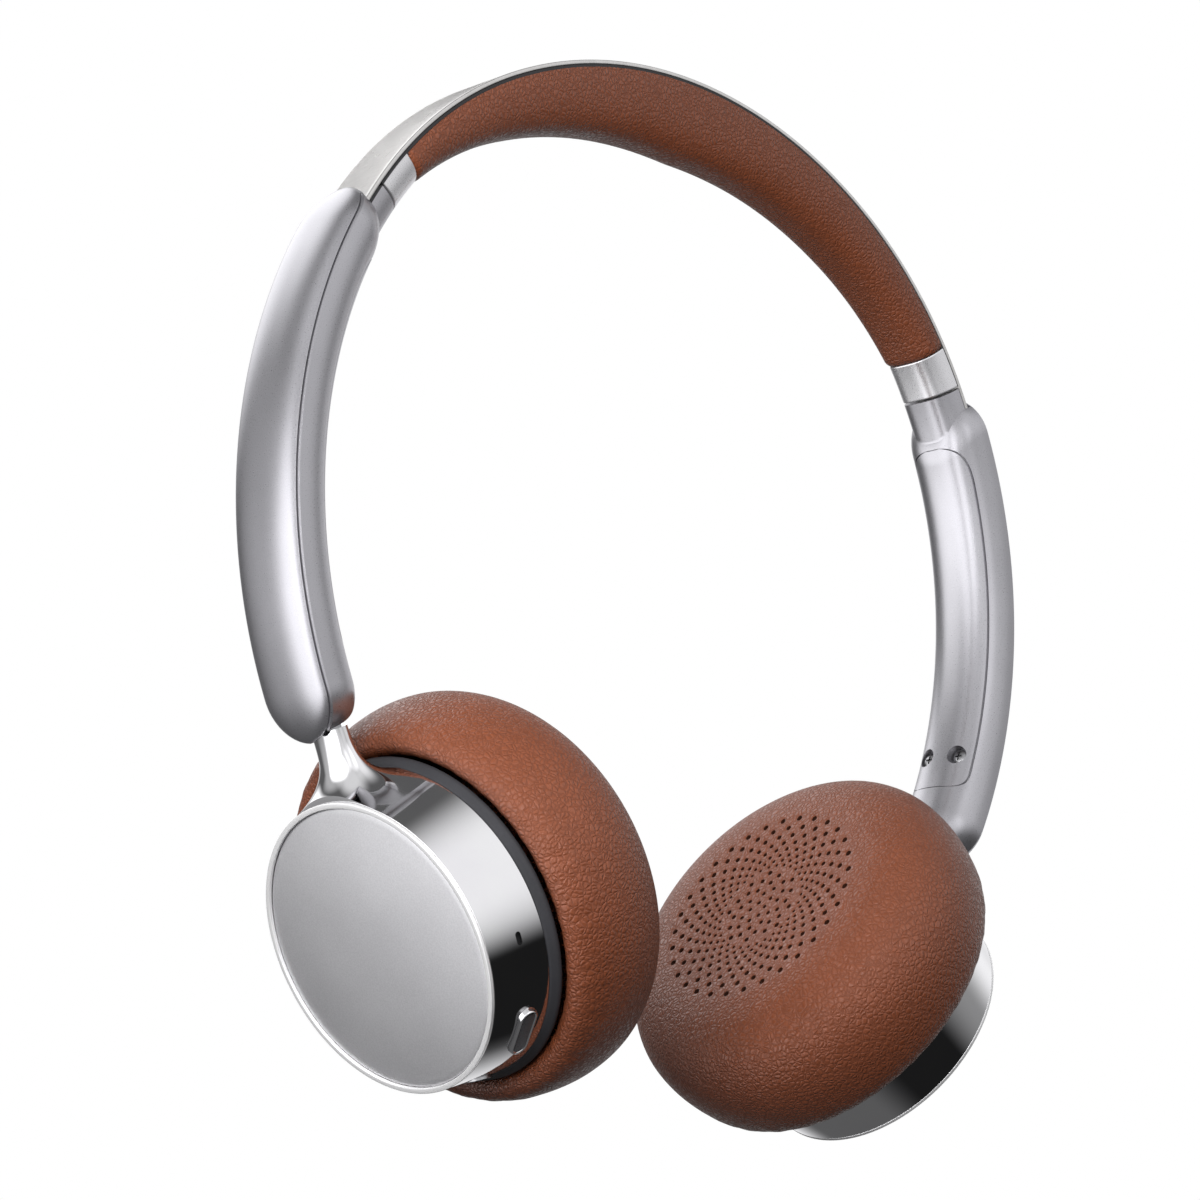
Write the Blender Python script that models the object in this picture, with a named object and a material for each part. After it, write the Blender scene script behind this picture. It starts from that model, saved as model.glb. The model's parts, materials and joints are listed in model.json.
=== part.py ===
"""On-ear wireless headphones with a sprung steel band, sliding arms and swivelling cups.

+Z is up, +X is the wearer's left and -Y is the front. The origin is the middle of the
headband cushion's underside, where the crown of the head carries the headphones.
"""

import math

import bmesh
import bpy
from mathutils import Matrix, Vector

MM = 0.001

# Outline of the band's outer surface: three tangent arcs on each side of the crown.
# Places along it are given by the angle between the surface's normal and the vertical.
CROWN_RADIUS = 84.0 * MM
SHOULDER_RADIUS = 73.2 * MM
ARM_RADIUS = 82.6 * MM
CROWN_END = 30.0
SHOULDER_END = 56.0

# Headband, as depths below the band's outer surface
BAND_WIDTH = 10.5 * MM
BAND_THICKNESS = 1.0 * MM
BAND_END = 103.0
TRIM_GAP = 0.3 * MM
FRAME_THICKNESS = 0.8 * MM
FRAME_WIDTH = 10.0 * MM
CUSHION_WIDTH = 11.4 * MM
CUSHION_DEPTH = 13.0 * MM
CUSHION_END_DEPTH = 6.3 * MM
CUSHION_END = 52.2
CAP_START = 52.5
CAP_END = 58.1

# Sliding arms
ARM_START = 58.4
COVER_START = 59.4
ARM_END = 120.3
ARM_WIDTH = 14.6 * MM
ARM_TOP_WIDTH = 10.8 * MM
ARM_OUTER = 2.7 * MM
ARM_INNER = 6.9 * MM
ARM_SEAM = 1.0 * MM
SEAM_GAP = 0.3 * MM
END_ROUNDING = 7.3 * MM
CHANNEL_WIDTH = 11.5 * MM
CHANNEL_FLOOR = 2.1 * MM
CHANNEL_END = 108.6
INNER_COVER_DEPTH = 4.3 * MM
INNER_COVER_START = 64.0
INNER_COVER_END = 111.8
SCREW_ANGLE = 107.0
SCREW_OFFSET = 3.3 * MM
SPRING_START = 66.0
SPRING_END = 80.0

# Tilt hinge and swivel neck
HINGE_ANGLE = 113.5
HINGE_DEPTH = 2.5 * MM
POCKET_START = 109.8
POCKET_WIDTH = 8.6 * MM
KNUCKLE_RADIUS = 2.6 * MM
PIN_RADIUS = 0.9 * MM
STEM_RADIUS = 1.9 * MM
NECK_TOP = 31.4 * MM

# Cups. Heights are along the cup's axis from its centre plane, positive away from the head.
CUP_TILT = 28.9
CUP_DROP = 41.3 * MM
NECK_HEIGHT = 2.9 * MM
RIM_RADIUS = 22.9 * MM
RIM_HEIGHT = 6.6 * MM
SKIRT_RADIUS = 24.6 * MM
SKIRT_HEIGHT = -2.1 * MM
WALL = 1.3 * MM
WEB_HEIGHT = 5.8 * MM
PLATE_RADIUS = 21.8 * MM
PLATE_DOME = 1.2 * MM
SEAL_RADIUS = 25.3 * MM
SEAL_HEIGHT = -3.6 * MM
BAFFLE_THICKNESS = 1.4 * MM
DRIVER_RADIUS = 15.0 * MM
PAD_RADIUS = 31.5 * MM
PAD_FRONT = -26.6 * MM
PAD_FACE_RADIUS = 18.2 * MM

# Controls on the right cup, as angles round it from the neck, towards the front
MODE_ANGLE = 133.5
MIC_ANGLE = 95.5
PORT_ANGLE = 176.0
REAR_BUTTON_ANGLES = {"volume_up_button": 240.0, "power_button": 221.0, "volume_down_button": 202.0}
BUTTON_GAP = 0.3 * MM

ROUND_STEPS = 32
SMALL_ROUND_STEPS = 16

SIDES = {"left": 1, "right": -1}
FRONT = Vector((0, -1, 0))

COLOURS = {
    "steel": ((0.56, 0.56, 0.57), 0.28, 1.0),
    "satin_silver": ((0.42, 0.42, 0.44), 0.38, 0.9),
    "chrome": ((0.75, 0.75, 0.77), 0.06, 1.0),
    "plate_silver": ((0.58, 0.57, 0.58), 0.42, 0.9),
    "leather": ((0.27, 0.085, 0.04), 0.55, 0.0),
    "black_plastic": ((0.012, 0.012, 0.013), 0.5, 0.0),
    "dark_plastic": ((0.05, 0.05, 0.055), 0.45, 0.0),
    "screw_steel": ((0.35, 0.35, 0.36), 0.35, 1.0),
    "spring_steel": ((0.5, 0.48, 0.44), 0.3, 1.0),
    "magnet": ((0.2, 0.2, 0.21), 0.4, 1.0),
    "membrane": ((0.3, 0.28, 0.24), 0.4, 0.0),
    "board_green": ((0.02, 0.12, 0.05), 0.5, 0.0),
    "battery_foil": ((0.55, 0.55, 0.58), 0.35, 0.6),
}


def clear_scene():
    for item in list(bpy.data.objects):
        bpy.data.objects.remove(item, do_unlink=True)


def material(name, slot):
    colour, roughness, metallic = COLOURS[slot]
    result = bpy.data.materials.new(name)
    result.use_nodes = True
    shader = result.node_tree.nodes["Principled BSDF"]
    shader.inputs["Base Color"].default_value = (*colour, 1.0)
    shader.inputs["Roughness"].default_value = roughness
    shader.inputs["Metallic"].default_value = metallic
    return result


def pivot(name, place, parent=None):
    """An empty on a joint's axis, which carries the pieces that turn about it."""
    empty = bpy.data.objects.new(name, None)
    bpy.context.collection.objects.link(empty)
    empty["world"] = [value for row in place for value in row]
    empty.parent = parent
    empty.matrix_basis = world_of(parent).inverted() @ place if parent else place
    return empty


def world_of(item):
    values = list(item["world"])
    return Matrix([values[row * 4:row * 4 + 4] for row in range(4)])


def solid(name, points, faces, slot=None, carrier=None):
    """One closed object from world points; without a slot it is a cutter or a guide."""
    mesh = bpy.data.meshes.new(name)
    mesh.from_pydata([tuple(point) for point in points], [], faces)
    work = bmesh.new()
    work.from_mesh(mesh)
    bmesh.ops.recalc_face_normals(work, faces=work.faces)
    if carrier:
        bmesh.ops.transform(work, matrix=world_of(carrier).inverted(), verts=work.verts)
    work.to_mesh(mesh)
    work.free()
    mesh.shade_smooth()
    mesh.set_sharp_from_angle(angle=math.radians(35))
    item = bpy.data.objects.new(name, mesh)
    bpy.context.collection.objects.link(item)
    item.parent = carrier
    if slot:
        mesh.materials.append(material(name, slot))
    else:
        item.hide_render = True
        item.display_type = "WIRE"
    return item


def loft(rings, closed=False):
    """Points and faces of a skin through rings of equal length, capped unless it closes on itself."""
    count = len(rings[0])
    points = [point for ring in rings for point in ring]
    faces = []
    spans = len(rings) if closed else len(rings) - 1
    for ring in range(spans):
        start = ring * count
        following = ((ring + 1) % len(rings)) * count
        for corner in range(count):
            beside = (corner + 1) % count
            faces.append((start + corner, start + beside, following + beside, following + corner))
    if not closed:
        faces.append(tuple(range(count)))
        faces.append(tuple(range((len(rings) - 1) * count, len(rings) * count)))
    return points, faces


def boolean(target, tool, operation):
    modifier = target.modifiers.new(operation.lower(), "BOOLEAN")
    modifier.object = tool
    modifier.operation = operation
    modifier.solver = "EXACT"


def cut(target, *tools):
    for tool in tools:
        boolean(target, tool, "DIFFERENCE")


# ---------------------------------------------------------------- band outline


def outline(angle):
    """Point on the band's outer surface at x, z for the normal's angle in degrees, signed by side."""
    x = 0.0
    z = CUSHION_DEPTH
    start = 0.0
    for radius, end in ((CROWN_RADIUS, CROWN_END), (SHOULDER_RADIUS, SHOULDER_END), (ARM_RADIUS, 180.0)):
        stop = min(abs(angle), end)
        if stop > start:
            x += radius * (math.sin(math.radians(stop)) - math.sin(math.radians(start)))
            z -= radius * (math.cos(math.radians(start)) - math.cos(math.radians(stop)))
        start = end
    return math.copysign(x, angle), z


def band_point(angle, across, height):
    """World point at a signed angle along the band, across it (towards +Y) and above its surface."""
    x, z = outline(angle)
    lean = math.radians(angle)
    return Vector((x + height * math.sin(lean), across, z + height * math.cos(lean)))


def arc_centre(side):
    x, z = outline(90.0)
    return Vector((side * (x - ARM_RADIUS), 0, z))


def sweep(name, section, start, end, steps, slot=None, carrier=None):
    """Solid along the band: section(angle) gives its (across, height) corners in order."""
    rings = []
    for step in range(steps + 1):
        angle = start + (end - start) * step / steps
        rings.append([band_point(angle, across, height) for across, height in section(angle)])
    return solid(name, *loft(rings), slot, carrier)


def bar(half_width, low, high):
    return lambda angle: [(half_width, low), (half_width, high), (-half_width, high), (-half_width, low)]


def rounded_bar(half_width, low, high, chamfer):
    corners = [
        (half_width, low + chamfer), (half_width, high - chamfer), (half_width - chamfer, high),
        (chamfer - half_width, high), (-half_width, high - chamfer), (-half_width, low + chamfer),
        (chamfer - half_width, low), (half_width - chamfer, low),
    ]
    return lambda angle: corners


def half_oval(half_width, depth, base, exponent, steps, skipped=0.0):
    """Corners of a squarish half oval that bulges from the height base by depth.

    The part of it that is nearer the base than skipped is left off.
    """
    corners = []
    first = math.asin(abs(skipped / depth) ** (exponent / 2))
    for step in range(steps + 1):
        turn = first + (math.pi - 2 * first) * step / steps
        across = math.copysign(abs(math.cos(turn)) ** (2 / exponent), math.cos(turn)) * half_width
        corners.append((across, base + depth * math.sin(turn) ** (2 / exponent)))
    return corners


# ------------------------------------------------------------------- headband


def cushion_depth(angle):
    share = min(1.0, abs(angle) / CUSHION_END)
    return CUSHION_DEPTH - (CUSHION_DEPTH - CUSHION_END_DEPTH) * share ** 1.3


def make_steel_band():
    section = rounded_bar(BAND_WIDTH / 2, -BAND_THICKNESS, 0, 0.25 * MM)
    sweep("steel_band", section, -BAND_END, BAND_END, 46, "steel")


def make_headband_frame():
    top = -BAND_THICKNESS - TRIM_GAP
    section = bar(FRAME_WIDTH / 2, top - FRAME_THICKNESS, top)
    sweep("headband_frame", section, -CUSHION_END, CUSHION_END, 26, "black_plastic")


def make_headband_cushion():
    top = -BAND_THICKNESS - FRAME_THICKNESS - 2 * TRIM_GAP

    def section(angle):
        return half_oval(CUSHION_WIDTH / 2, -(cushion_depth(angle) + top), top, 3.4, 10)

    sweep("headband_cushion", section, -CUSHION_END, CUSHION_END, 26, "leather")


def make_end_cap(side_name, side):
    top = -BAND_THICKNESS - TRIM_GAP
    corners = half_oval(ARM_TOP_WIDTH / 2, -(CUSHION_END_DEPTH + top), top, 3.0, 12)
    sweep("end_cap_" + side_name, lambda angle: corners, side * CAP_START, side * CAP_END, 3, "satin_silver")


def make_band_stop(side_name, side):
    section = bar(BAND_WIDTH / 2 - 0.1 * MM, TRIM_GAP, TRIM_GAP + 0.5 * MM)
    sweep("band_stop_" + side_name, section, side * (BAND_END - 5), side * BAND_END, 3, "black_plastic")


# ----------------------------------------------------------------------- arms


def ease(value):
    value = max(0.0, min(1.0, value))
    return value * value * (3 - 2 * value)


def end_rounding(angle, end):
    """Factor that rounds an arm off over its last few millimetres."""
    reach = math.radians(abs(end) - abs(angle)) * ARM_RADIUS
    share = 1 - min(1.0, max(0.0, reach / END_ROUNDING))
    return math.sqrt(max(0.03, 1 - share * share))


def arm_half_width(angle):
    growth = ease((abs(angle) - 60.5) / 5.5)
    width = ARM_TOP_WIDTH + (ARM_WIDTH - ARM_TOP_WIDTH) * growth
    return width / 2 * end_rounding(angle, ARM_END)


def arm_inner(angle):
    depth = CUSHION_END_DEPTH + (ARM_INNER - CUSHION_END_DEPTH) * ease((abs(angle) - 60.5) / 5.5)
    return depth * (0.65 + 0.35 * end_rounding(angle, ARM_END))


def make_arm_body(side_name, side, carrier):
    name = "arm_body_" + side_name
    top = ARM_SEAM - SEAM_GAP / 2

    def section(angle):
        half_width = arm_half_width(angle)
        corners = half_oval(half_width, -arm_inner(angle), 0, 2.6, 10)
        return [(half_width, top)] + corners + [(-half_width, top)]

    body = sweep(name, section, side * ARM_START, side * ARM_END, 24, "satin_silver", carrier)
    channel = sweep(name + "_channel", bar(CHANNEL_WIDTH / 2, -CHANNEL_FLOOR, 9 * MM),
                    side * (ARM_START - 3), side * CHANNEL_END, 20, carrier=carrier)
    recess = sweep(name + "_recess", bar(ARM_WIDTH, -12 * MM, -INNER_COVER_DEPTH + SEAM_GAP / 2),
                   side * INNER_COVER_START, side * INNER_COVER_END, 20, carrier=carrier)
    pocket = sweep(name + "_pocket", bar(POCKET_WIDTH / 2, -5.9 * MM, 9 * MM),
                   side * POCKET_START, side * (ARM_END + 4), 6, carrier=carrier)
    cut(body, channel, recess, pocket)
    bore = y_cylinder(name + "_pin_bore", hinge_point(side), PIN_RADIUS + 0.3 * MM, 6.5 * MM, None, carrier)
    cut(body, bore)
    for offset in (-SCREW_OFFSET, SCREW_OFFSET):
        hole = post(name + "_screw_hole", side, offset, 1.0 * MM, -6 * MM, 0, None, carrier)
        cut(body, hole)


def make_arm_outer_cover(side_name, side, carrier):
    base = ARM_SEAM + SEAM_GAP / 2

    def section(angle):
        reach = math.radians(abs(angle) - COVER_START) * ARM_RADIUS
        share = 1 - min(1.0, reach / END_ROUNDING)
        tip = math.sqrt(max(0.12, 1 - share * share)) * end_rounding(angle, ARM_END - 0.3)
        return half_oval(ARM_WIDTH / 2 * tip, ARM_OUTER * (0.5 + 0.5 * tip), 0, 2.6, 10, base)

    sweep("arm_outer_cover_" + side_name, section, side * COVER_START, side * (ARM_END - 0.3), 24,
          "satin_silver", carrier)


def make_arm_inner_cover(side_name, side, carrier):
    name = "arm_inner_cover_" + side_name
    top = -INNER_COVER_DEPTH - SEAM_GAP / 2

    def section(angle):
        return half_oval(arm_half_width(angle), -arm_inner(angle), 0, 2.6, 8, top)

    cover = sweep(name, section, side * (INNER_COVER_START + 0.2), side * (INNER_COVER_END - 0.2), 16,
                  "satin_silver", carrier)
    for offset in (-SCREW_OFFSET, SCREW_OFFSET):
        recess = post(name + "_recess", side, offset, 1.7 * MM, -9 * MM, -5.1 * MM, None, carrier)
        hole = post(name + "_hole", side, offset, 1.0 * MM, -9 * MM, -3 * MM, None, carrier)
        cut(cover, recess, hole)


def post(name, side, offset, radius, low, high, slot, carrier):
    """A short cylinder across the arm at the screws' place, between two heights."""
    axis = band_point(side * SCREW_ANGLE, offset, 1) - band_point(side * SCREW_ANGLE, offset, 0)
    foot = band_point(side * SCREW_ANGLE, offset, 0)
    return cylinder(name, foot + axis * low, foot + axis * high, radius, 12, slot, carrier)


def cylinder(name, foot, head, radius, steps, slot, carrier):
    return turned(name, [(0, 0), (radius, 0), (radius, 1), (0, 1)], steps,
                  axis_frame(foot, head), slot, carrier)


def axis_frame(foot, head):
    """Matrix whose third column runs from foot to head, for shapes one unit tall."""
    along = head - foot
    beside = along.normalized().orthogonal().normalized()
    across = along.normalized().cross(beside)
    rows = zip(beside, across, along, foot)
    return Matrix([list(row) for row in rows] + [[0, 0, 0, 1]])


def turned(name, profile, steps, place, slot=None, carrier=None):
    """Solid of revolution: (radius, height) corners from the axis round to the axis, or a closed ring."""
    on_axis = profile[0][0] == 0
    inner = profile[1:-1] if on_axis else profile
    points = []
    for step in range(steps):
        turn = 2 * math.pi * step / steps
        for radius, height in inner:
            points.append(place @ Vector((radius * math.cos(turn), radius * math.sin(turn), height)))
    count = len(inner)
    spans = count - 1 if on_axis else count
    faces = []
    for step in range(steps):
        here = step * count
        there = ((step + 1) % steps) * count
        for row in range(spans):
            above = (row + 1) % count
            faces.append((here + row, there + row, there + above, here + above))
    if on_axis:
        for end, row in ((profile[0], 0), (profile[-1], count - 1)):
            points.append(place @ Vector((0, 0, end[1])))
            pole = len(points) - 1
            for step in range(steps):
                faces.append((pole, step * count + row, ((step + 1) % steps) * count + row))
    return solid(name, points, faces, slot, carrier)


def y_cylinder(name, centre, radius, half_length, slot, carrier, steps=SMALL_ROUND_STEPS):
    reach = Vector((0, half_length, 0))
    return cylinder(name, centre - reach, centre + reach, radius, steps, slot, carrier)


def hinge_point(side):
    return band_point(side * HINGE_ANGLE, 0, -HINGE_DEPTH)


def make_arm_screws(side_name, side, carrier):
    for place, offset in (("front", -SCREW_OFFSET), ("rear", SCREW_OFFSET)):
        name = "arm_screw_" + place + "_" + side_name
        frame = axis_frame(band_point(side * SCREW_ANGLE, offset, -6.3 * MM),
                           band_point(side * SCREW_ANGLE, offset, -2.5 * MM))
        profile = [(0, 0), (1.1 * MM, 0), (1.35 * MM, 0.1), (1.35 * MM, 0.25), (0.7 * MM, 0.25),
                   (0.7 * MM, 1), (0, 1)]
        turned(name, profile, 12, frame, "screw_steel", carrier)


def make_detent_spring(side_name, side, carrier):
    def section(angle):
        share = (abs(angle) - SPRING_START) / (SPRING_END - SPRING_START)
        bow = 0.25 * MM * math.sin(math.pi * share)
        low = -CHANNEL_FLOOR + 0.2 * MM + bow
        return [(2.5 * MM, low), (2.5 * MM, low + 0.25 * MM), (-2.5 * MM, low + 0.25 * MM), (-2.5 * MM, low)]

    sweep("detent_spring_" + side_name, section, side * SPRING_START, side * SPRING_END, 6,
          "spring_steel", carrier)


def make_hinge_pin(side_name, side, carrier):
    y_cylinder("hinge_pin_" + side_name, hinge_point(side), PIN_RADIUS, 6.2 * MM, "screw_steel", carrier)


# ----------------------------------------------------------------------- cups


def cup_axes(side):
    """Directions up towards the neck and out away from the head."""
    lean = math.radians(CUP_TILT)
    up = Vector((side * math.sin(lean), 0, math.cos(lean)))
    out = Vector((side * math.cos(lean), 0, -math.sin(lean)))
    return up, out


def cup_frame(side):
    """Matrix with columns front, up, out and the cup's centre."""
    up, out = cup_axes(side)
    centre = hinge_point(side) - up * CUP_DROP - out * NECK_HEIGHT
    rows = zip(FRONT, up, out, centre)
    return Matrix([list(row) for row in rows] + [[0, 0, 0, 1]])


def neck_frame(side):
    """Matrix of the neck's axis: third column up, origin level with the cup's centre."""
    up, out = cup_axes(side)
    foot = cup_frame(side).translation + out * NECK_HEIGHT
    rows = zip(FRONT, out, up, foot)
    return Matrix([list(row) for row in rows] + [[0, 0, 0, 1]])


def wall_radius(height):
    """Radius of the housing's conical outer wall."""
    share = (RIM_HEIGHT - height) / (RIM_HEIGHT - SKIRT_HEIGHT)
    return RIM_RADIUS + (SKIRT_RADIUS - RIM_RADIUS) * share


def wall_frame(side, angle, height):
    """Matrix on the conical wall: columns along it, towards the plate, and out through it."""
    turn = math.radians(angle)
    slope = math.atan2(SKIRT_RADIUS - RIM_RADIUS, RIM_HEIGHT - SKIRT_HEIGHT)
    radial = Vector((math.sin(turn), math.cos(turn), 0))
    along = Vector((math.cos(turn), -math.sin(turn), 0))
    normal = radial * math.cos(slope) + Vector((0, 0, math.sin(slope)))
    beside = Vector((0, 0, math.cos(slope))) - radial * math.sin(slope)
    spot = radial * wall_radius(height) + Vector((0, 0, height))
    rows = zip(along, beside, normal, spot)
    return cup_frame(side) @ Matrix([list(row) for row in rows] + [[0, 0, 0, 1]])


def capsule(name, length, width, low, high, place, slot=None, carrier=None, crown=0.0, steps=6):
    """Prism with a round-ended outline and, with a crown, a narrower raised top."""
    outline_points = []
    radius = width / 2
    for end in (1, -1):
        for step in range(steps + 1):
            turn = math.pi * (step / steps - 0.5) + (0 if end > 0 else math.pi)
            outline_points.append((end * (length / 2 - radius) + radius * math.cos(turn),
                                   radius * math.sin(turn)))
    layers = [(low, 1.0), (high, 1.0)]
    if crown:
        layers = [(low, 1.0), (high - crown, 1.0), (high, 1 - 2 * crown / width)]
    rings = []
    for height, shrink in layers:
        inset = radius * (1 - shrink)
        ring = []
        for x, y in outline_points:
            ring.append(place @ Vector((x - math.copysign(inset, x) if abs(x) > inset else 0,
                                        y * shrink, height)))
        rings.append(ring)
    return solid(name, *loft(rings), slot, carrier)


def make_cup_housing(side_name, side, carrier):
    name = "cup_housing_" + side_name
    frame = cup_frame(side)
    outer = [(0, RIM_HEIGHT), (RIM_RADIUS - 0.2 * MM, RIM_HEIGHT), (RIM_RADIUS, RIM_HEIGHT - 0.3 * MM),
             (SKIRT_RADIUS, SKIRT_HEIGHT), (0, SKIRT_HEIGHT)]
    housing = turned(name, outer, 40, frame, "chrome", carrier)
    boolean(housing, make_neck(name + "_neck", side, carrier), "UNION")
    hollow = [(0, WEB_HEIGHT), (wall_radius(WEB_HEIGHT) - WALL, WEB_HEIGHT),
              (wall_radius(-5 * MM) - WALL, -5 * MM), (0, -5 * MM)]
    cut(housing, turned(name + "_hollow", hollow, 40, frame, carrier=carrier))
    neck = neck_frame(side)
    foot = neck @ Vector((0, 0, 18 * MM))
    head = neck @ Vector((0, 0, NECK_TOP + 3 * MM))
    cut(housing, cylinder(name + "_bore", foot, head, STEM_RADIUS + 0.35 * MM, 18, None, carrier))
    if side_name == "right":
        cut_controls(housing, side, carrier)
    return housing


def make_neck(name, side, carrier):
    """Round neck that flares like a trumpet along the housing's wall."""
    stages = [(17.0, 15.0, 3.6), (20.5, 11.0, 3.6), (22.6, 8.2, 3.6), (24.3, 5.9, 3.6), (26.0, 4.5, 3.5),
              (28.0, 3.7, 3.5), (30.9, 3.5, 3.5), (31.4, 3.1, 3.1)]
    frame = neck_frame(side)
    rings = []
    for height, along, out in stages:
        ring = []
        for step in range(24):
            turn = 2 * math.pi * step / 24
            ring.append(frame @ Vector((along * MM * math.cos(turn), out * MM * math.sin(turn), height * MM)))
        rings.append(ring)
    return solid(name, *loft(rings), carrier=carrier)


def cut_controls(housing, side, carrier):
    """Openings for the buttons, the microphone and the charging socket."""
    gap = 2 * BUTTON_GAP
    deep = -4 * MM
    for name, (angle, length, width) in button_layout().items():
        place = wall_frame(side, angle, 1.4 * MM)
        cut(housing, capsule(name + "_opening", length + gap, width + gap, deep, 4 * MM, place, carrier=carrier))
    place = wall_frame(side, MIC_ANGLE, 2.0 * MM)
    cut(housing, capsule("microphone_opening", 2.0 * MM, 0.9 * MM, deep, 4 * MM, place, carrier=carrier))
    place = wall_frame(side, PORT_ANGLE, 1.4 * MM)
    cut(housing, capsule("port_opening", 9.8 * MM + gap, 4.0 * MM + gap, deep, 4 * MM, place, carrier=carrier))


def button_layout():
    """Angle, length and width of each button on the right cup."""
    layout = {"mode_button": (MODE_ANGLE, 8.8 * MM, 3.2 * MM)}
    for name, angle in REAR_BUTTON_ANGLES.items():
        layout[name] = (angle, 5.6 * MM, 3.2 * MM)
    return layout


def make_button(name, side, carrier):
    angle, length, width = button_layout()[name]
    place = wall_frame(side, angle, 1.4 * MM)
    button_carrier = pivot(name + "_axis", unit_frame(place), carrier)
    capsule(name, length, width, -1.6 * MM, 0.6 * MM, place, "chrome", button_carrier, crown=0.3 * MM)


def unit_frame(place):
    return Matrix.Translation(place.translation)


def make_usb_port(side, carrier):
    place = wall_frame(side, PORT_ANGLE, 1.4 * MM)
    port = capsule("usb_port", 9.8 * MM, 4.0 * MM, -4.6 * MM, 0.0, place, "dark_plastic", carrier)
    cut(port, capsule("usb_port_socket", 8.6 * MM, 2.8 * MM, -3.8 * MM, 1 * MM, place, carrier=carrier))


def make_microphone(side, carrier):
    place = wall_frame(side, MIC_ANGLE, 2.0 * MM)
    capsule("microphone", 4.0 * MM, 3.0 * MM, -3.0 * MM, -1.7 * MM, place, "black_plastic", carrier)


def make_trim_ring(side_name, side, carrier):
    inner = PLATE_RADIUS + 0.2 * MM
    low = RIM_HEIGHT + 0.4 * MM
    high = RIM_HEIGHT + 1.5 * MM
    outer = RIM_RADIUS
    profile = [(inner, low), (outer, low), (outer, high - 0.3 * MM), (outer - 0.3 * MM, high), (inner, high)]
    turned("trim_ring_" + side_name, profile, 40, cup_frame(side), "chrome", carrier)


def make_cup_plate(side_name, side, carrier):
    low = RIM_HEIGHT + 0.5 * MM
    edge = RIM_HEIGHT + 1.1 * MM
    profile = [(0, low), (PLATE_RADIUS, low), (PLATE_RADIUS, edge - 0.15 * MM), (PLATE_RADIUS - 0.2 * MM, edge)]
    for share in (0.8, 0.45):
        profile.append((PLATE_RADIUS * share, edge + PLATE_DOME * (1 - share * share)))
    profile.append((0, edge + PLATE_DOME))
    turned("cup_plate_" + side_name, profile, 40, cup_frame(side), "plate_silver", carrier)


def make_seal_ring(side_name, side, carrier):
    top = SKIRT_HEIGHT - 0.3 * MM
    profile = [(21.0 * MM, SEAL_HEIGHT), (SEAL_RADIUS - 0.2 * MM, SEAL_HEIGHT),
               (SEAL_RADIUS, SEAL_HEIGHT + 0.3 * MM), (SKIRT_RADIUS + 0.1 * MM, top), (21.0 * MM, top)]
    turned("seal_ring_" + side_name, profile, ROUND_STEPS, cup_frame(side), "dark_plastic", carrier)


def make_baffle(side_name, side, carrier):
    top = SEAL_HEIGHT - 0.3 * MM
    low = top - BAFFLE_THICKNESS
    hole = DRIVER_RADIUS + 0.3 * MM
    profile = [(hole, low), (24.0 * MM, low), (24.0 * MM, top), (hole, top)]
    turned("baffle_" + side_name, profile, ROUND_STEPS, cup_frame(side), "black_plastic", carrier)


def make_driver(side_name, side, carrier):
    """Moving-coil driver: basket with a flange, magnet pot behind and diaphragm in front."""
    flange = SEAL_HEIGHT - BAFFLE_THICKNESS - 0.6 * MM
    basket = [(12.4 * MM, flange - 1.0 * MM), (16.4 * MM, flange - 1.0 * MM), (16.4 * MM, flange),
              (DRIVER_RADIUS, flange), (DRIVER_RADIUS, -2.6 * MM), (13.0 * MM, -1.2 * MM),
              (10.0 * MM, -1.2 * MM), (10.0 * MM, -2.2 * MM), (12.4 * MM, -2.8 * MM)]
    frame = cup_frame(side)
    turned("driver_frame_" + side_name, basket, 24, frame, "black_plastic", carrier)
    magnet = [(0, -3.4 * MM), (9.6 * MM, -3.4 * MM), (9.6 * MM, 0.6 * MM), (9.0 * MM, 1.0 * MM), (0, 1.0 * MM)]
    turned("driver_magnet_" + side_name, magnet, 24, frame, "magnet", carrier)
    crest = flange - 0.9 * MM
    membrane = [(0, crest + 0.5 * MM), (5.0 * MM, crest + 0.5 * MM), (8.0 * MM, crest + 1.1 * MM),
                (12.0 * MM, crest + 0.4 * MM), (12.0 * MM, crest + 0.1 * MM), (8.0 * MM, crest + 0.8 * MM),
                (5.0 * MM, crest + 0.2 * MM), (0, crest + 0.2 * MM)]
    turned("diaphragm_" + side_name, membrane, 24, frame, "membrane", carrier)


def make_ear_pad(side_name, side, carrier):
    back = SEAL_HEIGHT - BAFFLE_THICKNESS - 0.6 * MM
    well = 17.0 * MM
    profile = [(0, -12.0 * MM), (well, -12.0 * MM), (well, back), (24.6 * MM, back),
               (SEAL_RADIUS + 0.5 * MM, SEAL_HEIGHT + 0.1 * MM), (27.6 * MM, -2.2 * MM), (29.8 * MM, -5.2 * MM),
               (31.1 * MM, -9.0 * MM), (PAD_RADIUS, -13.2 * MM), (30.8 * MM, -17.8 * MM),
               (28.6 * MM, -22.0 * MM), (24.8 * MM, -25.0 * MM), (PAD_FACE_RADIUS, PAD_FRONT), (0, PAD_FRONT)]
    turned("ear_pad_" + side_name, profile, ROUND_STEPS, cup_frame(side), "leather", carrier)


def make_electronics(carriers):
    frame = cup_frame(SIDES["right"])
    board = [(0, 3.6 * MM), (16.5 * MM, 3.6 * MM), (16.5 * MM, 4.6 * MM), (0, 4.6 * MM)]
    turned("circuit_board", board, 24, frame, "board_green", carriers["right"])
    frame = cup_frame(SIDES["left"])
    capsule("battery", 28 * MM, 17 * MM, 1.4 * MM, 5.2 * MM, frame, "battery_foil", carriers["left"])


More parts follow.
